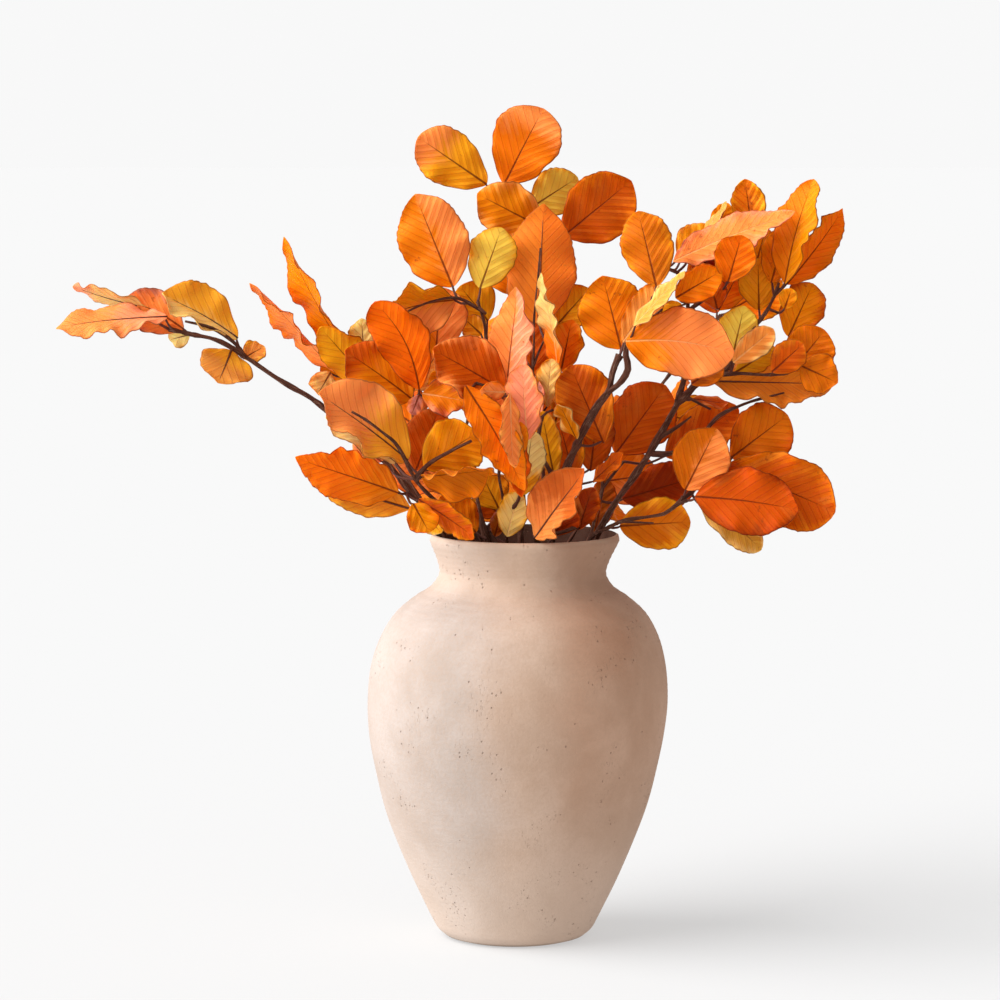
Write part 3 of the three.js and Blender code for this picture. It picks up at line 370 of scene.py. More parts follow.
        (1.2, 0.9, [(122, 325, -52), (127, 336, -48)]),
        (1, 0.6, [(82, 312, -44), (108, 311, -56)]),
        (1.6, 1.1, [(117, 322, -52), (130, 333, -44), (143, 345, -38), (150, 350, -36),
            (161, 360, -34)]),
    ], leaves=[
        ("two_tone", (127, 336, -48), (150, 382, -44), 43, "ochre salmon right", 0, 10, 0.02),
        ("big_red", (134, 331, -56), (212, 321, -70), 49, "deep dark", 0, 10, 0.03, -0.02),
        ("big_brown", (152, 351, -40), (239, 319, -54), 54, "deep orange", 0, 8, 0.03, -0.03),
        ("tan_under", (139, 324, -42), (184, 291, -38), 28, "tan cream", 10, 0, 0, -0.05),
        ("amber_low_right", (78, 309, -38), (131, 312, -40), 40, "ochre gold", 0, -6),
        ("brown_high", (161, 360, -30), (203, 392, -30), 45, "ochre deep", 0, 8),
    ]),
    "right_thin_branch": spray(foot=(28, 8), neck=(40, 8), stems=[
        (2.2, 1.2, [(57, 304, 10), (60, 318, 12), (65, 337, 14), (66, 352, 14), (72, 366, 12)]),
        (1.4, 0.8, [(65, 337, 14), (75, 350, 14), (84, 361, 12)]),
    ], leaves=[
        ("broad_dark", (75, 363, 12), (112, 414, 18), 49, "deep red", 0, 8, 0.02),
        ("deep_fan", (80, 329, 16), (136, 346, 20), 36, "dark red", 0, 6),
        ("brown_fan", (112, 361, 14), (166, 398, 18), 38, "deep orange", 0, 6),
        ("brown_edge", (60, 304, 22), (68, 345, 28), 22, "brown deep"),
    ]),
    "back_left_branch": spray(foot=(-14, 24), neck=(-24, 26), stems=[
        (2.8, 1.2, [(-34, 304, 34), (-50, 345, 52), (-68, 385, 72), (-82, 420, 88)]),
        (1.4, 1, [(-52, 350, 54), (-40, 372, 74), (-34, 392, 96)]),
    ], leaves=[
        ("low_left", (-48, 340, 56), (-92, 362, 86), 44, "brown deep", 0, 10, 0.04),
        ("low_back", (-44, 330, 50), (-66, 336, 112), 44, "orange amber", 0, 12, 0.04),
        ("mid_left", (-74, 384, 78), (-112, 412, 104), 44, "orange salmon left", 10, 10, 0.04),
        ("mid_back", (-68, 386, 80), (-86, 398, 138), 46, "deep orange", 0, 12, 0.04),
        ("high_left", (-84, 422, 84), (-96, 464, 96), 44, "amber orange", -10, 10, 0.04),
        ("high_back", (-76, 410, 96), (-54, 444, 140), 46, "orange peach right", 0, 10, 0.04),
        ("inner_high", (-34, 392, 98), (-28, 432, 106), 34, "gold amber", 0, 8, 0.04),
        ("inner_low", (-38, 376, 86), (-34, 366, 134), 42, "deep red", 20, 8, 0.04),
    ]),
    "back_centre_branch": spray(foot=(4, 30), neck=(4, 38), stems=[
        (2.8, 1.1, [(5, 304, 46), (7, 360, 66), (6, 410, 86), (4, 450, 98), (2, 484, 104)]),
    ], leaves=[
        ("low_left", (4, 330, 60), (-28, 334, 104), 42, "orange amber", 10, 10, 0.04),
        ("low_right", (9, 338, 62), (36, 342, 110), 44, "amber gold", -10, 10, 0.04),
        ("mid_left", (4, 378, 76), (-18, 408, 134), 44, "deep orange", 0, 10, 0.04),
        ("mid_right", (9, 372, 74), (40, 402, 118), 44, "orange salmon right", 0, 10, 0.04),
        ("high_left", (3, 428, 94), (-22, 462, 126), 44, "orange salmon", 10, 10, 0.04),
        ("high_right", (7, 424, 94), (32, 452, 130), 42, "amber orange", -10, 10, 0.04),
        ("top_left", (0, 482, 104), (-16, 522, 104), 40, "orange amber", 0, 10, 0.04),
        ("top_right", (6, 474, 110), (32, 506, 132), 44, "gold amber", 0, 10, 0.04),
    ]),
    "back_right_branch": spray(foot=(24, 22), neck=(30, 26), stems=[
        (2.8, 1.3, [(44, 304, 36), (62, 340, 52), (86, 380, 70), (110, 416, 86), (134, 446, 96),
            (156, 470, 102)]),
        (1.4, 1, [(86, 380, 70), (104, 392, 92), (116, 398, 110)]),
    ], leaves=[
        ("low_back", (58, 328, 54), (74, 332, 112), 44, "amber orange", 0, 10, 0.04),
        ("low_right", (64, 342, 58), (104, 348, 90), 46, "orange salmon right", 0, 10, 0.04),
        ("mid_left", (78, 372, 70), (62, 398, 112), 44, "deep orange", 10, 10, 0.04),
        ("mid_back", (116, 398, 112), (112, 404, 166), 46, "vivid orange", 0, 10, 0.04),
        ("mid_right", (110, 394, 102), (150, 380, 118), 44, "amber gold", 0, 10, 0.04),
        ("high_left", (126, 440, 98), (116, 470, 128), 42, "orange amber", 0, 10, 0.04),
        ("high_right", (134, 444, 98), (178, 436, 122), 44, "salmon vivid left", 0, 10, 0.04),
        ("top_left", (150, 468, 106), (140, 500, 134), 42, "deep red", 0, 10, 0.04),
        ("top_right", (160, 470, 100), (198, 492, 106), 44, "orange gold", 0, 10, 0.04),
    ]),
}


# Colours


def paint(red, green, blue):
    """A colour given as three levels from 0 to 255, as Blender's linear colour."""
    shares = [level / 255 for level in (red, green, blue)]
    return tuple(s / 12.92 if s <= 0.04045 else ((s + 0.055) / 1.055) ** 2.4 for s in shares)


WHITE = (1, 1, 1)

# Leaves

# Painted highlight and painted shade of the pleats between the veins
PAINTED_PLEAT_HIGHLIGHT = paint(255, 190, 84)
BAND_SHADE = paint(226, 176, 120)
VEIN_SHADE = paint(196, 120, 60)
SPOT = paint(134, 58, 18)
DUSTING = paint(255, 200, 120)
MARGIN_SHADE = paint(104, 40, 12)
UNDERSIDE = paint(250, 176, 96)
PALE_RIB = paint(255, 186, 124)
DARK_RIB = paint(112, 38, 10)

# Twigs and stalks

BARK_RED = paint(132, 78, 56)
STALK_SHADE = paint(66, 34, 24)

# Clay

CLOUD_SHADE = paint(234, 228, 222)
GRAIN_SHADE = paint(176, 146, 124)
LOW_LIGHT = paint(216, 194, 176)
# Painted light and painted shade on the neck
NECK_LIGHT = paint(232, 198, 170)
NECK_SHADE = paint(120, 84, 62)
# Painted shade round the foot
FOOT_SHADE = paint(104, 80, 62)
# Paler at the lip
LIP_LIGHT = paint(214, 186, 160)
# Painted shade inside the vase
INNER_SHADE = paint(58, 34, 24)
SCRATCH = paint(160, 130, 106)


# Sizes and colours that a user would change


def hue(name, red, green, blue):
    return FloatVectorProperty(
        name=name, description=f"{name}, as the colour painted on the surface", subtype="COLOR",
        default=paint(red, green, blue), min=0, max=1,
    )


def size(name, description, default):
    return FloatProperty(name=name, description=description, default=default, unit="LENGTH")


def number(name, description, default, **more):
    return FloatProperty(name=name, description=description, default=default, **more)


class BeechVaseValues(bpy.types.PropertyGroup):
    steps: IntProperty(name="Turned steps", description="Steps round the vase", default=160, min=24)
    profile_step: size("Profile step", "Distance between rings of the wall", 0.0022)
    ring_depth: size("Ring depth", "Depth of the rings left by turning", 0.00022)
    hollow_depth: size("Hollow depth", "Depth of the shallow hollows left by hand", 0.0005)
    clay: hue("Clay", 199, 171, 151)
    # Painted key light and shade: a paler, cooler tint for the lit left side, a warmer one for the
    # shaded right
    slip: hue("Pale slip", 181, 168, 160)
    flash: hue("Side flashed by the fire", 199, 160, 135)
    stain: hue("Warm stain", 156, 102, 68)
    pore: hue("Pore", 128, 96, 76)
    # The inside's colour, darker than the clay: painted shade
    inner: hue("Inner clay", 76, 45, 31)


class BeechTwigValues(bpy.types.PropertyGroup):
    sides: IntProperty(name="Sides", description="Sides of a twig", default=9, min=5)
    step: size("Step", "Distance between rings of a twig", 0.005)
    stalk: size("Stalk", "Radius of a leaf stalk", 0.0008)
    core: number("Core", "Thickness of a twig inside its winding shoots", 0.8)
    strand: number("Strand", "Thickness of a winding shoot, as a share of its twig", 0.42)
    winding: size("Winding", "Length of one turn of a winding shoot", 0.085)
    bark: hue("Bark", 66, 36, 26)
    pale_bark: hue("Pale bark", 158, 122, 102)
    rib: hue("Rib", 96, 40, 18)


class BeechLeafValues(bpy.types.PropertyGroup):
    rows: IntProperty(name="Rows", description="Rows along a blade", default=44, min=8)
    columns: IntProperty(name="Columns", description="Columns across a blade", default=18, min=4)
    thick: size("Thickness", "Thickness of a blade", 0.0006)
    vein_gap: size("Vein gap", "Distance between side veins", 0.0076)
    pleat: size("Pleat", "Depth of the pleat between two veins", 0.00033)
    ruffle: size("Ruffle", "Height of the ruffle along the margin", 0.0022)
    vivid: hue("Vivid orange", 242, 110, 0)
    orange: hue("Orange", 226, 116, 0)
    deep: hue("Deep orange", 196, 80, 0)
    dark: hue("Dark red", 148, 44, 0)
    red: hue("Red orange", 208, 75, 0)
    ochre: hue("Ochre", 204, 104, 2)
    amber: hue("Amber", 226, 130, 0)
    gold: hue("Gold", 238, 158, 18)
    olive: hue("Olive yellow", 240, 202, 78)
    salmon: hue("Salmon", 246, 138, 66)
    pink: hue("Pink", 252, 142, 104)
    peach: hue("Peach", 240, 150, 66)
    cream: hue("Cream", 242, 192, 112)
    ivory: hue("Ivory", 255, 222, 138)
    tan: hue("Tan", 208, 148, 54)
    sage: hue("Sage", 224, 208, 138)
    mauve: hue("Mauve", 188, 112, 92)
    brown: hue("Brown", 164, 76, 6)


class BeechStageValues(bpy.types.PropertyGroup):
    spread: size("Spread", "Half the side of the floor", 60)
    backdrop: number("Backdrop", "Brightness behind the vase", 0.94)
    dome: number("Dome", "Strength of the light from all round", 0.55)
    key: number("Key", "Strength of the key light", 5.8)
    softness: number("Softness", "Angle that the key light fills", math.radians(66),
                     subtype="ANGLE")
    floor: hue("Floor", 150, 150, 150)
    glow: number("Glow", "Light that the floor gives back by itself", 0.481)


# Nodes


class Wiring:
    """Lays nodes on one tree. Each input takes a number, a colour or another node's output."""

    def __init__(self, tree):
        self.tree = tree

    def join(self, socket, source):
        if isinstance(source, bpy.types.NodeSocket):
            self.tree.links.new(source, socket)
        elif socket.type == "RGBA":
            socket.default_value = (*source, 1)
        else:
            socket.default_value = source

    def lay(self, kind, inputs, **settings):
        """The outputs of a new node."""
        made = self.tree.nodes.new("ShaderNode" + kind)
        for key, setting in settings.items():
            setattr(made, key, setting)
        for key, source in inputs.items():
            self.join(made.inputs[key], source)
        return made.outputs

    def node(self, kind, inputs, out=0, **settings):
        return self.lay(kind, inputs, **settings)[out]

    def group(self, tree, inputs):
        return self.lay("Group", inputs, node_tree=tree)

    def skin(self):
        """Where a point of the surface lies."""
        return self.node("TexCoord", {}, out=3)

    def own(self, name, out=1):
        """One of the piece's own attributes."""
        return self.node("Attribute", {}, out=out, attribute_name=name)

    def parts(self, vector):
        return self.lay("SeparateXYZ", {0: vector})

    def math(self, operation, *terms, clamp=False):
        return self.node("Math", dict(enumerate(terms)), operation=operation, use_clamp=clamp)

    def plus(self, *terms):
        return reduce(lambda a, b: self.math("ADD", a, b), terms)

    def times(self, *terms):
        return reduce(lambda a, b: self.math("MULTIPLY", a, b), terms)

    def less(self, whole, taken):
        return self.math("SUBTRACT", whole, taken)

    def rest(self, part):
        """What a share leaves of 1."""
        return self.less(1, part)

    def stray(self, noisy, size):
        """How far a value from 0 to 1 strays from its middle, at this size."""
        return self.times(self.less(noisy, 0.5), size)

    def fade(self, value, low, high, first=0, last=1):
        levels = {"Value": value, "From Min": low, "From Max": high, "To Min": first,
                  "To Max": last}
        return self.node("MapRange", levels, interpolation_type="SMOOTHSTEP")

    def mix(self, part, first, second, how="MIX"):
        inputs = {0: part, 6: first, 7: second}
        return self.node("Mix", inputs, out=2, data_type="RGBA", blend_type=how)

    def wash(self, colour, over, mask, strength, how="MIX"):
        """The colour with another laid over it where the mask says."""
        return self.mix(self.times(mask, strength), colour, over, how)

    def clouds(self, where, scale, detail=4, rough=0.55, bend=0):
        inputs = {"Vector": where, "Scale": scale, "Detail": detail, "Roughness": rough,
                  "Distortion": bend}
        return self.node("TexNoise", inputs)

    def stretched(self, where, scale, turn=(0, 0, 0)):
        return self.node("Mapping", {"Vector": where, "Rotation": turn, "Scale": scale})


def new_group(name, takes, wire):
    """A node group. A function lays its nodes, and returns its outputs by name."""
    tree = bpy.data.node_groups.new(name, "ShaderNodeTree")
    for label, default in takes.items():
        kind = "NodeSocketVector" if label == "Vector" else "NodeSocketFloat"
        socket = tree.interface.new_socket(label, in_out="INPUT", socket_type=kind)
        socket.default_value = default
    w = Wiring(tree)
    gives = wire(w, tree.nodes.new("NodeGroupInput").outputs)
    for label, source in gives.items():
        kind = "NodeSocketColor" if source.type == "RGBA" else "NodeSocketFloat"
        tree.interface.new_socket(label, in_out="OUTPUT", socket_type=kind)
    end = tree.nodes.new("NodeGroupOutput")
    for label, source in gives.items():
        w.join(end.inputs[label], source)
    return tree


def finish_material(name, wire, depth=0.0):
    """A material. A function lays its nodes, and returns the shader's inputs and its height."""
    material = bpy.data.materials.new(name)
    material.use_nodes = True
    w = Wiring(material.node_tree)
    inputs = wire(w)
    if "Height" in inputs:
        inputs["Normal"] = w.node("Bump", {"Height": inputs.pop("Height"), "Distance": depth})
    shader = material.node_tree.nodes["Principled BSDF"]
    for key, source in inputs.items():
        w.join(shader.inputs[key], source)
    return material


def group_of_veins():
    """Rib, side veins and the bands between them, from the distances that a blade carries."""

    def wire(w, given):
        off_rib, from_margin, along = w.parts(w.own("blade"))
        vein, side, seed = w.parts(w.own("vein"))
        thinner = w.times(given["Rib width"], w.fade(along, 0, 0.95, 1, 0.05))
        rib = w.rest(w.fade(w.less(off_rib, thinner), -0.2, 0.45))
        rib = w.times(rib, w.fade(along, 0.72, 0.97, 1, 0))
        away = w.math("PINGPONG", vein, 0.5)
        line = w.rest(w.fade(away, w.times(given["Vein width"], 0.25), given["Vein width"]))
        line = w.times(line, w.fade(from_margin, 0.2, 3))
        counted = w.plus(vein, 0.5)
        band = w.fade(w.math("FRACT", counted), 0.05, 0.95)
        cell = w.node("CombineXYZ", {0: w.math("FLOOR", counted), 1: side, 2: seed})
        stripe = w.node("TexWhiteNoise", {"Vector": cell}, noise_dimensions="3D")
        margin = w.rest(w.fade(from_margin, 0.15, 1.15))
        margin = w.times(margin, w.fade(w.plus(off_rib, from_margin), 2, 9))
        mesh = {"Vector": w.skin(), "Scale": 900.0}
        net = w.fade(w.node("TexVoronoi", mesh, feature="DISTANCE_TO_EDGE"), 0, 0.12)
        pleat = w.times(w.math("COSINE", w.times(vein, math.tau)), 0.2)
        height = w.plus(w.times(line, -0.5), pleat, w.times(rib, -1.0), w.times(net, 0.12))
        return {"Rib": rib, "Vein": line, "Band": band, "Stripe": stripe, "Margin": margin,
                "Height": height}

    return new_group("Beech veins", {"Rib width": 0.9, "Vein width": 0.09}, wire)


def group_of_hues():
    """A blade's colour: two hues that run together, painted pleat light and shade, spots and wear.
    """

    def wire(w, given):
        skin = w.skin()
        second, age, pale = w.parts(w.own("marks"))
        broad = w.clouds(skin, 38.0, 3, 0.6, 0.4)
        fine = w.clouds(skin, 230.0, 5, 0.65)
        lean = w.plus(second, w.stray(broad, 0.9), w.stray(given["Stripe"], 0.16),
                      w.stray(given["Band"], 0.12))
        colour = w.mix(w.fade(lean, 0.3, 0.75), w.own("hue", 0), w.own("second_hue", 0))
        # Painted highlight: some bands between veins are paler, as a pleat catches the light
        lighter = w.times(w.fade(given["Stripe"], 0.45, 1), given["Stripe strength"],
                          w.fade(broad, 0.3, 0.6), pale)
        colour = w.wash(colour, PAINTED_PLEAT_HIGHLIGHT, lighter, 0.5)
        # Painted shade across each band, for the slope of its pleat
        darker = w.times(w.rest(given["Band"]), given["Stripe strength"])
        colour = w.wash(colour, BAND_SHADE, darker, 0.55, "MULTIPLY")
        colour = w.wash(colour, VEIN_SHADE, given["Vein"], 0.3, "MULTIPLY")
        spots = w.plus(w.times(fine, 0.7), w.times(broad, 0.3))
        spots = w.times(w.fade(spots, w.less(0.66, w.times(age, 0.11)), 0.7), given["Spots"])
        colour = w.mix(spots, colour, SPOT)
        colour = w.mix(w.fade(fine, 0.35, 0.75, 0, 0.12), colour, DUSTING, "SOFT_LIGHT")
        colour = w.wash(colour, MARGIN_SHADE, given["Margin"], 0.68)
        return {"Colour": colour, "Worn": w.plus(spots, w.times(fine, 0.3))}

    takes = {"Band": 0, "Stripe": 0, "Vein": 0, "Margin": 0, "Stripe strength": 0.25, "Spots": 0.5}
    return new_group("Beech hues", takes, wire)


def group_of_mottle():
    """Soft clouds with grains in them, for clay and bark."""

    def wire(w, given):
        clouds = w.clouds(given["Vector"], given["Cloud scale"], 6, 0.62, given["Warp"])
        grains = w.clouds(given["Vector"], given["Grain scale"], 4, 0.7)
        return {"Clouds": w.fade(clouds, 0.3, 0.7), "Grains": grains}

    takes = {"Vector": (0, 0, 0), "Cloud scale": 14, "Grain scale": 300, "Warp": 0.5}
    return new_group("Mottle", takes, wire)


def group_of_pits():
    """Pin holes and scratches of fired clay, gathered in clusters."""

    def wire(w, given):
        cells = w.lay("TexVoronoi", {"Vector": given["Vector"], "Scale": given["Pit scale"]})
        chance = w.parts(cells["Color"])[0]
        cluster = w.fade(w.clouds(given["Vector"], 32.0, 2, 0.5), 0.5, 0.68)
        deep = w.rest(w.fade(cells["Distance"], 0.08, 0.3))
        kept = w.fade(chance, w.rest(w.times(given["Amount"], cluster)), 1.0)
        upright = w.stretched(given["Vector"], (800.0, 800.0, 190.0), (0.5, 0.3, 0))
        lines = w.clouds(upright, 1.0, 2, 0.5, 0.3)
        return {"Pits": w.times(deep, w.fade(kept, 0, 0.25)),
                "Scratches": w.times(w.fade(lines, 0.64, 0.7), cluster)}

    return new_group("Clay pits", {"Vector": (0, 0, 0), "Pit scale": 230, "Amount": 0.5}, wire)


def leaf_material(name, veins, hues, underside):
    """A blade's face, or its paler underside with raised veins."""
    rib_width, vein_width, stripes, spots = (
        (0.85, 0.12, 0.16, 0.45) if underside else (0.6, 0.08, 0.24, 0.8))

    def wire(w):
        v = w.group(veins, {"Rib width": rib_width, "Vein width": vein_width})
        shown = {key: v[key] for key in ("Band", "Stripe", "Vein", "Margin")}
        h = w.group(hues, {**shown, "Stripe strength": stripes, "Spots": spots})
        colour, height = h["Colour"], v["Height"]
        if underside:
            colour = w.mix(0.12, colour, UNDERSIDE)
            height = w.times(height, -1)
        dark = w.own("hue", 3)
        rib = w.mix(dark, PALE_RIB, DARK_RIB)
        colour = w.mix(w.times(v["Rib"], w.fade(dark, 0, 1, 0.45, 0.85)), colour, rib)
        return {"Base Color": colour, "Roughness": w.fade(h["Worn"], 0, 1, 0.42, 0.68),
                "Specular IOR Level": 0.06, "Subsurface Weight": 0.4,
                "Subsurface Radius": (1.0, 0.6, 0.25), "Subsurface Scale": 0.0016,
                "Height": height}

    return finish_material(name, wire, depth=0.0005)


def bark_material(mottle, values):
    """Rough grey-brown bark, streaked along the twig."""

    def wire(w):
        round_it = w.own("bark")
        streaks = w.stretched(round_it, (1.0, 1.0, 0.12))
        m = w.group(mottle, {"Vector": streaks, "Cloud scale": 0.55, "Grain scale": 1.3,
                             "Warp": 0.6})
        patches = w.fade(w.clouds(round_it, 0.09, 3, 0.6), 0.38, 0.62)
        pale = w.times(w.fade(m["Grains"], 0.48, 0.66), patches)
        colour = w.wash(values.bark, BARK_RED, m["Clouds"], 0.55)
        colour = w.wash(colour, values.pale_bark, pale, 0.8)
        height = w.plus(m["Grains"], w.times(m["Clouds"], 0.6))
        return {"Base Color": colour, "Roughness": w.fade(m["Grains"], 0.3, 0.7, 0.62, 0.92),
                "Specular IOR Level": 0.15, "Height": height}

    return finish_material("Beech bark", wire, depth=0.0011)


def rib_material(mottle, values):
    """Smooth red-brown stalks and ribs."""

    def wire(w):
        streaks = w.stretched(w.own("bark"), (1.0, 1.0, 0.2))
        m = w.group(mottle, {"Vector": streaks, "Cloud scale": 0.5, "Grain scale": 2.0,
                             "Warp": 0.3})
        colour = w.mix(m["Clouds"], values.rib, STALK_SHADE)
        return {"Base Color": colour, "Roughness": w.fade(m["Grains"], 0.3, 0.7, 0.45, 0.7),
                "Specular IOR Level": 0.4, "Height": m["Grains"]}

    return finish_material("Beech stalk", wire, depth=0.0003)


def outer_clay(w, values, spot, wobble, mottle):
    """The outside's colour: painted light and shade, a stain, paler low down and at the lip."""
    across, _, tall = w.parts(spot)
    drift = w.plus(across, w.stray(wobble, 0.03))
    # Painted key light and shade: paler, cooler clay on the lit left, warmer clay on the shaded
    # right
    colour = w.mix(w.fade(drift, -0.05, 0.014), values.slip, values.clay)
    flashed = w.times(w.fade(drift, 0.008, 0.052), w.fade(tall, 0.03, 0.19, 0.35, 1))
    colour = w.mix(flashed, colour, values.flash)
    tone = w.mix(mottle["Clouds"], CLOUD_SHADE, WHITE)
    colour = w.mix(1.0, colour, tone, "MULTIPLY")
    colour = w.mix(w.fade(mottle["Grains"], 0.42, 0.62, 0, 0.2), colour, GRAIN_SHADE)
    off_stain = w.node("VectorMath", {0: spot, 1: STAIN_AT}, out=1, operation="DISTANCE")
    warm = w.rest(w.fade(w.plus(off_stain, w.stray(wobble, 0.045)), 0.004, 0.052))
    colour = w.wash(colour, values.stain, warm, 0.5)
    colour = w.wash(colour, LOW_LIGHT, w.rest(w.fade(tall, 0.0, 0.13)), 0.4)
    # Painted light on the neck's lit left side, painted shade on its right
    neck = w.times(w.fade(tall, 0.25, 0.275), w.fade(drift, 0.0, 0.045, 1, -0.6))
    colour = w.mix(w.math("MULTIPLY", neck, 0.25, clamp=True), colour, NECK_LIGHT)
    colour = w.mix(w.math("MULTIPLY", neck, -0.45, clamp=True), colour, NECK_SHADE)
    # Painted shade: a thin darker ring round the foot, where it meets the floor
    colour = w.wash(colour, FOOT_SHADE, w.rest(w.fade(tall, 0.0005, 0.004)), 0.6)
    return w.wash(colour, LIP_LIGHT, w.fade(tall, 0.2995, 0.3025), 0.3)


def clay_material(name, mottle, pits, values, inside):
    """Matt fired clay: cloudy mottle, pits in clusters, fine scratches and faint turning lines; the
    inside painted in shade.
    """

    def wire(w):
        spot = w.skin()
        m = w.group(mottle, {"Vector": spot, "Cloud scale": 15.0, "Grain scale": 420.0,
                             "Warp": 0.25})
        p = w.group(pits, {"Vector": spot, "Pit scale": 300.0, "Amount": 0.62})
        wobble = w.clouds(spot, 22.0, 3, 0.5)
        # The inside is painted in shade: dark clay with darker clouds
        if inside:
            colour = w.wash(values.inner, INNER_SHADE, m["Clouds"], 0.6)
        else:
            colour = outer_clay(w, values, spot, wobble, m)
        colour = w.wash(colour, values.pore, p["Pits"], 0.45)
        colour = w.wash(colour, SCRATCH, p["Scratches"], 0.3)
        tall = w.parts(spot)[2]
        rings = w.math("SINE", w.plus(w.times(tall, 1500.0), w.times(wobble, 9.0)))
        rings = w.times(rings, w.times(w.fade(tall, 0.19, 0.262, 0.3), 0.5))
        height = w.less(w.times(m["Grains"], 0.5), p["Pits"])
        height = w.less(height, w.times(p["Scratches"], 0.5))
        height = w.plus(height, w.times(rings, 0.12))
        return {"Base Color": colour, "Roughness": w.fade(m["Grains"], 0.3, 0.7, 0.8, 0.97),
                "Specular IOR Level": 0.25, "Height": height}

    return finish_material(name, wire, depth=0.0006)


# Meshes


def add_object(name, bm):
    mesh = bpy.data.meshes.new(name)
    bm.to_mesh(mesh)
    bm.free()
    made = bpy.data.objects.new(name, mesh)
    bpy.context.scene.collection.objects.link(made)
    return made


def add_piece(name, bm, materials, node):
    """The finished mesh as a piece at the origin that stands for one node of the frame."""
    piece = add_object(name, bm)
    for material in materials:
        piece.data.materials.append(material)
    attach(piece, "root")
    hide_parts(node)
    return piece


def join(whole, part):
    """Adds one closed part to the whole, and frees it."""
    mesh = bpy.data.meshes.new("part")
    part.to_mesh(mesh)
    part.free()
    whole.from_mesh(mesh)
    bpy.data.meshes.remove(mesh)


def seen(place):
    """The place across and up in the picture, and this deep behind it, in metres."""
    across, up, depth = place
    return EYE.lerp(Vector((across, 0, up)), 1 + depth / -EYE.y) * MM


def curve_through(places, step):
    """Evenly spaced places on a smooth curve through the given ones."""
    ends = [places[0] * 2 - places[1], *places, places[-1] * 2 - places[-2]]
    fine = []
    for a, b, c, d in zip(ends, ends[1:], ends[2:], ends[3:]):
        gap = (c - b).length
        before, after = (b - a).length, (d - c).length
        leave = ((b - a) / before - (c - a) / (before + gap) + (c - b) / gap) * gap
        arrive = ((c - b) / gap - (d - b) / (gap + after) + (d - c) / after) * gap
        for i in range(CURVE_PARTS):
            t = i / CURVE_PARTS
            bend = (b * -3 + c * 3 - leave * 2 - arrive) * t ** 2
            close = (b * 2 - c * 2 + leave + arrive) * t ** 3
            fine.append(b + leave * t + bend + close)
    fine.append(places[-1])
    far = [0]
    for a, b in zip(fine, fine[1:]):
        far.append(far[-1] + (b - a).length)
    count = max(2, round(far[-1] / step))
    spaced, k = [], 0
    for i in range(count + 1):
        wanted = far[-1] * i / count
        while k < len(far) - 2 and far[k + 1] < wanted:
            k += 1
        part = (wanted - far[k]) / max(far[k + 1] - far[k], 1e-9)
        spaced.append(fine[k].lerp(fine[k + 1], min(part, 1)))
    return spaced


def carried_frames(path):
    """At each place of a path, directions that turn as little as they can on the way."""
    frames, side = [], None
    for i, place in enumerate(path):
        ahead = (path[min(i + 1, len(path) - 1)] - path[max(i - 1, 0)]).normalized()
        if side is None:
            side = ahead.orthogonal().normalized()
        side = (side - ahead * side.dot(ahead)).normalized()
        frames.append((place, side, ahead.cross(side), ahead))
    return frames


def rod(path, radii, sides, material=0):
    """A closed rod: one ring of edges extruded and carried from place to place."""
    bm = bmesh.new()
    skin = bm.verts.layers.float_vector.new("bark")
    ring = bmesh.ops.create_circle(bm, segments=sides, radius=1)["verts"]
    for v in ring:
        v[skin] = (v.co.x * radii[0] / MM, v.co.y * radii[0] / MM, 0)
    edges = bm.edges[:]
    bmesh.ops.contextual_create(bm, geom=edges)
    done, along = Matrix.Identity(4), 0
    for i, (place, side, other, ahead) in enumerate(carried_frames(path)):
        if i:
            grown = bmesh.ops.extrude_edge_only(bm, edges=edges)["geom"]
            ring = [item for item in grown if isinstance(item, bmesh.types.BMVert)]
            edges = [item for item in grown if isinstance(item, bmesh.types.BMEdge)]
            along += (place - path[i - 1]).length / MM
        turned = Matrix((side, other, ahead)).transposed().to_4x4() @ Matrix.Scale(radii[i], 4)
        wanted = Matrix.Translation(place) @ turned
        bmesh.ops.transform(bm, matrix=wanted @ done.inverted(), verts=ring)
        done = wanted
        for v in ring:
            v[skin].z = along
    bmesh.ops.contextual_create(bm, geom=edges)
    bmesh.ops.recalc_face_normals(bm, faces=bm.faces)
    for face in bm.faces:
        face.smooth = True
        face.material_index = material
    return bm


# Vase


def lean_at(height):
    return RIM_LEAN * (max(height, 0) / VASE_TALL) ** LEAN_POWER


def press_wall(v, values):
    """Moves a vertex of the wall in or out, by turning rings and shallow hollows."""
    radius, tall = math.hypot(v.co.x, v.co.y), v.co.z / MM
    if radius > 1e-4 and tall > PLAIN_FOOT:
        near_neck = min(max((tall - SHOULDER) / SHOULDER_TALL, 0.25), 1)
        turning = math.sin(tall * RING_PACE + 2 * noise.noise(v.co * RING_WOBBLE))
        hollow = noise.noise(v.co * HOLLOW_PACE) * values.hollow_depth
        press = turning * values.ring_depth * near_neck + hollow
        press = press * min((tall - PLAIN_FOOT) / PRESS_FADE, 1) / radius
        v.co.x *= 1 + press
        v.co.y *= 1 + press


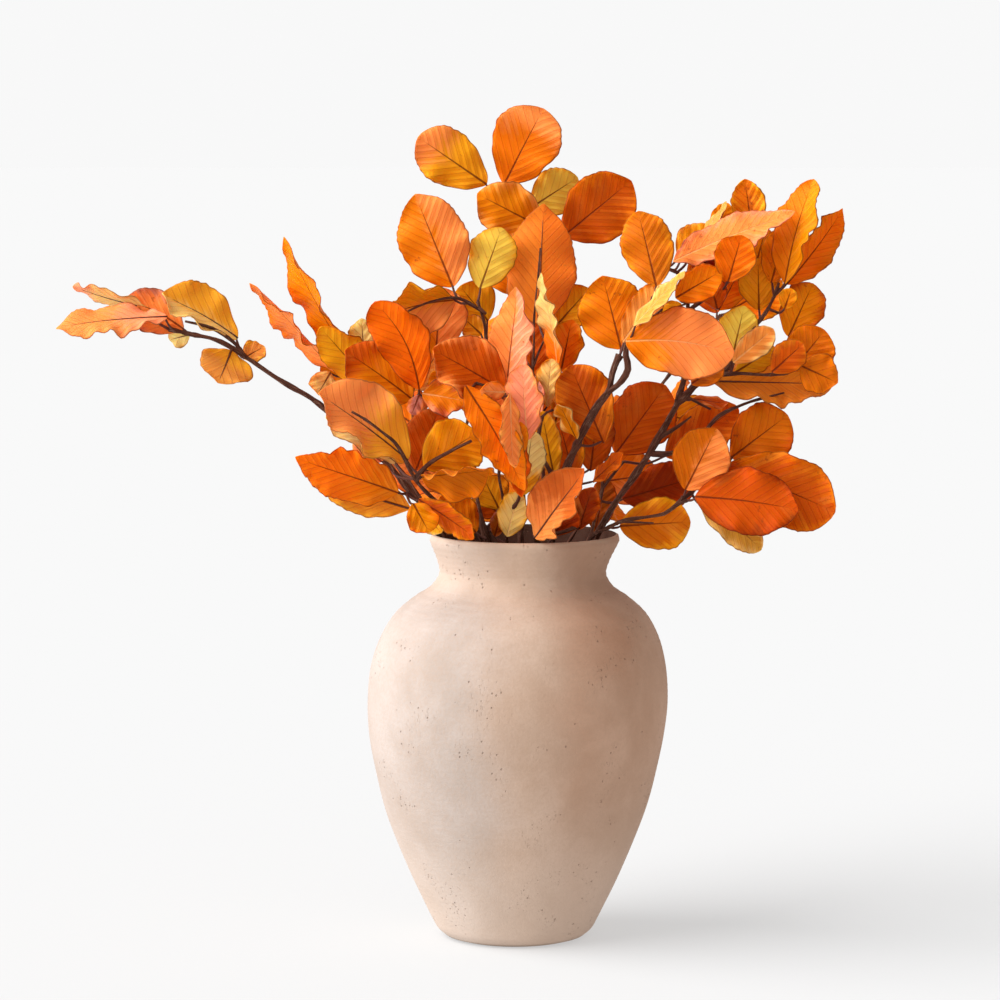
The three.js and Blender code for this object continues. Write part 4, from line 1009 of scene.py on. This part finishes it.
def turned_vase(values):
    """The wall's profile spun into a shell, pressed a little by hand, leaning as it rises."""
    step = values.profile_step
    outside = [Vector((radius, 0, height)) * MM for radius, height in VASE_OUTSIDE]
    inside = [Vector((radius - WALL, 0, max(height, FLOOR))) * MM for radius, height in VASE_INSIDE]
    wall = curve_through(outside[1:], step)
    inner = curve_through([outside[-1], *reversed(inside)], step)
    profile = [Vector((0, 0, 0)), outside[0], *wall, *inner[1:], Vector((0, 0, FLOOR * MM))]
    bm = bmesh.new()
    places = [bm.verts.new(place) for place in profile]
    edges = [bm.edges.new(pair) for pair in zip(places, places[1:])]
    bmesh.ops.spin(
        bm, geom=places + edges, cent=(0, 0, 0), axis=(0, 0, 1), steps=values.steps,
        angle=math.tau, use_merge=True)
    bmesh.ops.remove_doubles(bm, verts=bm.verts, dist=1e-6)
    for v in bm.verts:
        press_wall(v, values)
        v.co.x += lean_at(v.co.z / MM) * MM
    bmesh.ops.recalc_face_normals(bm, faces=bm.faces)
    for face in bm.faces:
        face.smooth = True
        middle = face.calc_center_median()
        # Faces inside the mouth and on the floor within take the inside material, painted in shade
        outward = Vector((middle.x - lean_at(middle.z / MM) * MM, middle.y, 0)).dot(face.normal)
        on_floor = face.normal.z > 0.9 and abs(middle.z - FLOOR * MM) < 0.001
        face.material_index = int(on_floor or outward < 0 and middle.z > 0.8 * FLOOR * MM)
    return bm


# Twigs


def tapered(first, last, path):
    """Radii that change evenly along a path."""
    count = len(path) - 1
    return [first + (last - first) * k / count for k in range(count + 1)]


def stem_paths(spray, step):
    """Each twig of a spray as its places and its radii, the first one down into the vase."""
    twigs = []
    for i, (thick, thin, places) in enumerate(spray.stems):
        path = [seen(place) for place in places]
        if i == 0:
            seat = Vector((*spray.foot, FLOOR + SEAT_GAP)) * MM
            path[:0] = [seat, Vector((*spray.neck, THROAT)) * MM]
        back = path[-2] - path[-1]
        path[-1] = path[-1] + back * min(TWIG_END * MM / back.length, 0.5)
        path = curve_through(path, step)
        free = [min(max(place.z / MM - VASE_TALL, 0) / STOUT_OVER, 1) for place in path]
        radii = [radius * MM * (1 + (spray.stout - 1) * part)
                 for radius, part in zip(tapered(thick, thin, path), free)]
        twigs.append((path, radii))
    return twigs


def stalk_foot(leaf, twigs):
    """The place on the spray's twigs that a leaf's stalk grows from."""
    start, tip = seen(leaf.start), seen(leaf.tip)
    behind = start - (tip - start).normalized() * STALK * MM
    low = (VASE_TALL - STALKS_BELOW) * MM
    places = [place for path, radii in twigs for place in path if place.z > low]
    return min(places, key=lambda place: (place - behind).length)


def knotted(path, radii, joints, seed):
    """The radii with swellings where leaves join and small lumps all along."""
    rough = []
    for place, radius in zip(path, radii):
        near = min([(place - joint).length for joint in joints], default=1)
        swell = KNOT_SWELL * math.exp(-(near / MM / KNOT_REACH) ** 2)
        lumps = LUMP * noise.noise(place * LUMP_PACE + Vector((seed, 0, 0)))
        rough.append(radius * (1 + swell + lumps))
    return rough


def winding_shoot(path, radii, strand, winding, start):
    """A thinner shoot that winds round a twig."""
    shoot, along = [], 0
    for i, (place, side, other, ahead) in enumerate(carried_frames(path)):
        along += (place - path[i - 1]).length if i else 0
        angle = start + math.tau * along / winding + SHOOT_SWAY * math.sin(along * SWAY_PACE)
        reach = radii[i] * (1.1 - strand)
        shoot.append(place + (side * math.cos(angle) + other * math.sin(angle)) * reach)
    return shoot, [radius * strand for radius in radii]


def stalk_of(blade, foot, values):
    """The stalk from a place on a twig to the foot of a blade."""
    base = blade.over_rib(STALK_JOINS, STALK_LIFT)
    mid = foot.lerp(base, 0.5) - Vector((0, 0, STALK_SAG * (base - foot).length))
    path = curve_through([foot, mid, base], STALK_STEP * MM)
    radii = [values.stalk * part for part in tapered(1.3, 1, path)]
    radii[-1] = values.stalk * 0.7
    return rod(path, radii, STALK_SIDES, 1)


def rib_of(blade, values):
    """The rib that stands out under a blade."""
    places = [blade.over_rib(along, RIB_LIFT - RIB_SINKS * along) for along in RIB_STOPS]
    path = curve_through(places, RIB_STEP * MM)
    return rod(path, [values.stalk * part for part in tapered(0.8, 0.18, path)], RIB_SIDES, 1)


def twigs_of(spray, values, seed):
    """All the wood of a spray: twigs, winding shoots, stalks, and the rib under each blade."""
    whole = bmesh.new()
    twigs = stem_paths(spray, values.step)
    feet = [stalk_foot(leaf, twigs) for leaf in spray.leaves]
    for i, (path, radii) in enumerate(twigs):
        wound = len(path) > WOUND_RINGS and radii[0] > WOUND_ABOVE * MM
        core = [radius * (values.core if wound else 1) for radius in radii]
        join(whole, rod(path, knotted(path, core, feet, seed + i), values.sides))
        if wound:
            first = next((k for k, place in enumerate(path) if place.z > THROAT * MM), 0)
            for turn in SHOOT_TURNS:
                shoot = winding_shoot(path[first:-2], radii[first:-2], values.strand,
                                      values.winding, turn + seed)
                join(whole, rod(*shoot, SHOOT_SIDES))
    for leaf, foot in zip(spray.leaves, feet):
        blade = Blade(leaf)
        join(whole, stalk_of(blade, foot, values))
        join(whole, rib_of(blade, values))
    return whole


# Leaves


class Blade:
    """One leaf's blade. Along it runs from 0 at its foot to 1, and across it from -1 to 1."""

    def __init__(self, leaf):
        self.leaf = leaf
        self.root, self.tip = seen(leaf.start), seen(leaf.tip)
        self.length = (self.tip - self.root).length
        self.axis = (self.tip - self.root).normalized()
        to_eye = EYE * MM - self.root
        self.front = (to_eye - self.axis * to_eye.dot(self.axis)).normalized()
        self.rows = SHORT_ROWS if self.length < SHORT_BLADE * MM else WAVE_ROWS
        self.shown = 1 if "under" in leaf.look else -1
        self.roll = 1 if "wavy" in leaf.look else 0.3
        self.chance = random.Random(leaf.name + str(leaf.start))
        self.tip_power = POINTED_TIP if "pointed" in leaf.look else self.chance.uniform(*ROUND_TIP)
        self.flick = self.chance.uniform(-0.5, 0.9)
        self.quilt = self.chance.uniform(0.7, 1.7)
        self.phase = self.chance.uniform(0, 1)
        self.curl = self.chance.uniform(-0.16, 0.1)
        self.spread = self.chance.uniform(0.9, 1.1)
        self.calm = 0.5 if abs(leaf.turn) > STEEP_TURN else 1

    def face(self, along):
        """The direction that the blade faces."""
        angle = math.radians(-self.leaf.turn - self.leaf.twist * (along - 0.5))
        return Quaternion(self.axis, angle) @ self.front

    def middle(self, along):
        """The place on the rib."""
        arch = self.length * math.sin(math.pi * along)
        face = self.face(along)
        right = self.axis.cross(face)
        place = self.root + self.axis * self.length * along
        tip_lift = self.flick * self.length * max(0, along - FLICK_FROM) ** 2
        return place + face * (self.leaf.bow * arch + tip_lift) + right * self.leaf.sweep * arch

    def over_rib(self, along, lift):
        """The place that stands this many millimetres off the rib, on the blade's underside."""
        return self.middle(along) + self.face(along) * (lift * MM * self.shown)

    def half(self, along):
        """Half the width."""
        along = min(max(along, 0), 1)
        widest = OUTLINE_BASE / (OUTLINE_BASE + self.tip_power)
        full = (along / widest) ** OUTLINE_BASE * ((1 - along) / (1 - widest)) ** self.tip_power
        in_tip = max(0, (along - TIP_FROM) / (1 - TIP_FROM))
        return self.leaf.width / 2 * MM * full * (1 - 0.3 * in_tip ** 2)

    def drift(self, along, side, pace):
        """A slow irregular change along one margin, about -1 to 1."""
        where = Vector((along * self.length * pace, side * 3.1 + self.phase * 40, 7.7))
        return 1.6 * noise.noise(where)

    def vein(self, along, off_rib, gap):
        """How many side veins lie between the foot of the blade and this point."""
        return (along * self.length - off_rib * VEIN_SLOPE) / (gap * self.spread) + self.phase

    def place(self, along, across, values):
        """The place in metres, with the pleats between veins and the waves of the margin."""
        wide = self.leaf.width * MM
        half, side, out = self.half(along), math.copysign(1, across), abs(across)
        face, lift = self.face(along), math.radians(self.leaf.fold)
        right = self.axis.cross(face)
        vein = math.tau * self.vein(along, half * out, values.vein_gap)
        taper = min(1, half / 0.009, 5 * (1 - along))
        fine = taper * self.calm
        turns = along * self.length / (ROLL_LENGTH * MM) + self.phase + 0.3 * side
        turns = math.tau * (turns + 0.6 * self.drift(along, side, pace=26))
        roll = self.roll * taper * max(0, 0.6 + 0.7 * self.drift(along, side + 5, pace=34))
        teeth = (TOOTH * math.cos(vein) + RAGGED * self.drift(along, side, pace=110)) * fine
        teeth = (teeth + ROLL_IN * roll * math.sin(turns)) * MM
        uneven = 1 + UNEVEN * self.drift(along, side, pace=40) * out
        reach = half * out * uneven + teeth * out ** 3
        place = self.middle(along) + right * side * math.cos(lift) * reach
        place += face * math.sin(lift) * reach * min(1, 0.55 + 0.45 * out)
        ends = min(1, 4 * half / wide)
        wave = side * out ** 1.5 * math.cos(math.pi * self.rows * along) * WAVE * wide * ends
        pleat = values.pleat * self.quilt * math.cos(vein) * min(1, half * out / 0.004) * fine
        ruffle = self.drift(along, side, pace=95) + 0.25 * math.sin(vein)
        ruffle = values.ruffle * ruffle * out ** 3
        swing = ROLL_UP * MM * roll * math.cos(turns) * out ** 2.2
        curl = self.curl * half * out ** 2.5
        skin = face * math.cos(lift) - right * side * math.sin(lift)
        return place + skin * (wave + pleat + ruffle * fine + swing + curl)


def second_hue_share(words, along, across):
    """How strongly the second hue shows at a point, before the clouds are added."""
    if "right" in words:
        return 0.5 + 0.85 * across
    if "left" in words:
        return 0.5 - 0.85 * across
    if "tip" in words:
        return 1.5 * along - 0.5
    if "base" in words:
        return 1.0 - 1.2 * along
    return 0.08 + 0.5 * abs(across) ** 1.6 + 0.12 * along


def blade_mesh(leaf, values, seed):
    """One blade: a grid laid on the leaf's form, carrying its veins and hues as attributes."""
    bm = bmesh.new()
    shape, veins, marks = [bm.verts.layers.float_vector.new(n) for n in ("blade", "vein", "marks")]
    hues, seconds = [bm.verts.layers.float_color.new(n) for n in ("hue", "second_hue")]
    flat = bm.loops.layers.uv.new("leaf")
    bmesh.ops.create_grid(bm, x_segments=values.columns, y_segments=values.rows, size=1)
    words = leaf.look.split()
    first, second = getattr(values, words[0]), getattr(values, words[1])
    blade = Blade(leaf)
    shift = [blade.chance.uniform(0.93, 1.05) for _ in range(3)]
    age = blade.chance.uniform(0.1, 1) + (0.4 if words[0] in ("brown", "dark", "deep") else 0)
    pale = blade.chance.choice((0.15, 0.4, 0.8, 1.0))
    first = [min(level * s, 1) for level, s in zip(first, shift)]
    dark_rib = 0 if "bare" in words else 1
    for face in bm.faces:
        face.smooth = True
        face.material_index = 1 if "under" in words else 0
        for loop in face.loops:
            loop[flat].uv = (loop.vert.co.x / 2 + 0.5, loop.vert.co.y / 2 + 0.5)
    for v in bm.verts:
        across = v.co.x
        even = v.co.y / 2 + 0.5
        along = 0.55 * even + 0.45 * (0.5 - 0.5 * math.cos(math.pi * even))
        half = blade.half(along)
        off_rib = abs(across) * half
        v[shape] = (off_rib / MM, (half - off_rib) / MM, along)
        vein = blade.vein(along, off_rib, values.vein_gap)
        v[veins] = (vein, 2 + math.copysign(1, across), seed)
        v[marks] = (second_hue_share(words[2:], along, across), age, pale)
        v[hues] = (*first, dark_rib)
        v[seconds] = (*second, 1)
        v.co = blade.place(along, across, values)
    bmesh.ops.remove_doubles(bm, verts=bm.verts, dist=2e-5)
    return bm


def leaves_of(spray, values, seed):
    whole = bmesh.new()
    for i, leaf in enumerate(spray.leaves):
        join(whole, blade_mesh(leaf, values, seed + i * 0.37))
    return whole


# Operators


class BEECH_OT_vase(bpy.types.Operator):
    """Turn the clay vase"""

    bl_idname = "beech.vase"
    bl_label = "Turn the vase"

    def execute(self, context):
        values = context.scene.beech_vase
        mottle = bpy.data.node_groups.get("Mottle") or group_of_mottle()
        pits = group_of_pits()
        finishes = [
            clay_material("Vase clay", mottle, pits, values, inside=False),
            clay_material("Vase inner clay", mottle, pits, values, inside=True),
        ]
        add_piece("turned_vase", turned_vase(values), finishes, "vase")
        return {"FINISHED"}


class BEECH_OT_twigs(bpy.types.Operator):
    """Grow the twigs, stalks and ribs of every spray"""

    bl_idname = "beech.twigs"
    bl_label = "Grow the twigs"

    def execute(self, context):
        values = context.scene.beech_twigs
        mottle = bpy.data.node_groups.get("Mottle") or group_of_mottle()
        finishes = [bark_material(mottle, values), rib_material(mottle, values)]
        for seed, (node, spray) in enumerate(SPRAYS.items()):
            add_piece(f"{node}_twigs", twigs_of(spray, values, seed), finishes, node)
        return {"FINISHED"}


class BEECH_OT_leaves(bpy.types.Operator):
    """Grow the leaves of every spray"""

    bl_idname = "beech.leaves"
    bl_label = "Grow the leaves"

    def execute(self, context):
        values = context.scene.beech_leaves
        veins, hues = group_of_veins(), group_of_hues()
        face = leaf_material("Beech leaf face", veins, hues, underside=False)
        under = leaf_material("Beech leaf underside", veins, hues, underside=True)
        for seed, (node, spray) in enumerate(SPRAYS.items()):
            bm = leaves_of(spray, values, seed * 7.1)
            piece = add_piece(f"{node}_leaves", bm, [face, under, face], node)
            wall = piece.modifiers.new("Thickness", "SOLIDIFY")
            wall.thickness = values.thick
            wall.offset = 0
            wall.material_offset = 1
        return {"FINISHED"}


class BEECH_OT_stage(bpy.types.Operator):
    """Lay the pale floor, and set the soft light and the camera"""

    bl_idname = "beech.stage"
    bl_label = "Set the stage"

    def execute(self, context):
        values, scene = context.scene.beech_stage, context.scene
        bm = bmesh.new()
        bmesh.ops.create_grid(bm, x_segments=1, y_segments=1, size=values.spread)
        floor = add_object("floor", bm)

        def plain(w):
            return {"Base Color": values.floor, "Roughness": 0.9, "Specular IOR Level": 0.0,
                    "Emission Color": WHITE, "Emission Strength": values.glow}

        floor.data.materials.append(finish_material("Pale floor", plain))

        sun = bpy.data.lights.new("key", "SUN")
        sun.energy = values.key
        sun.angle = values.softness
        key = bpy.data.objects.new("key", sun)
        key.rotation_euler = [math.radians(turn) for turn in KEY_TURN]
        scene.collection.objects.link(key)

        world = bpy.data.worlds.new("dome")
        world.use_nodes = True
        world.node_tree.nodes.clear()
        w = Wiring(world.node_tree)
        strength = w.fade(w.node("LightPath", {}), 0, 1, values.dome, values.backdrop)
        light = w.node("Background", {"Color": WHITE, "Strength": strength})
        w.lay("OutputWorld", {"Surface": light})
        scene.world = world

        lens = bpy.data.cameras.new("camera")
        lens.lens = LENS
        lens.sensor_width = 36
        lens.clip_end = 200
        camera = bpy.data.objects.new("camera", lens)
        camera.location = EYE * MM
        camera.rotation_euler = (math.radians(90 - LOOK_DOWN), 0, 0)
        scene.collection.objects.link(camera)
        scene.camera = camera
        scene.view_settings.view_transform = "Standard"
        return {"FINISHED"}


class BEECH_PT_panel(bpy.types.Panel):
    """Lists the steps that make the vase and its branches"""

    bl_label = "Beech branches"
    bl_idname = "BEECH_PT_panel"
    bl_space_type = "VIEW_3D"
    bl_region_type = "UI"
    bl_category = "Beech"

    def draw(self, context):
        for step in STEPS:
            self.layout.operator(step.bl_idname)


VALUES = {
    "beech_vase": BeechVaseValues,
    "beech_twigs": BeechTwigValues,
    "beech_leaves": BeechLeafValues,
    "beech_stage": BeechStageValues,
}
STEPS = [BEECH_OT_stage, BEECH_OT_vase, BEECH_OT_twigs, BEECH_OT_leaves]
CLASSES = [*VALUES.values(), *STEPS, BEECH_PT_panel]


def register():
    for part in CLASSES:
        bpy.utils.register_class(part)
    for name, part in VALUES.items():
        setattr(bpy.types.Scene, name, PointerProperty(type=part))


def unregister():
    for name in VALUES:
        delattr(bpy.types.Scene, name)
    for part in reversed(CLASSES):
        bpy.utils.unregister_class(part)


def main():
    register()
    bpy.ops.beech.stage()
    bpy.ops.beech.vase()
    bpy.ops.beech.twigs()
    bpy.ops.beech.leaves()


if __name__ == "__main__":
    main()
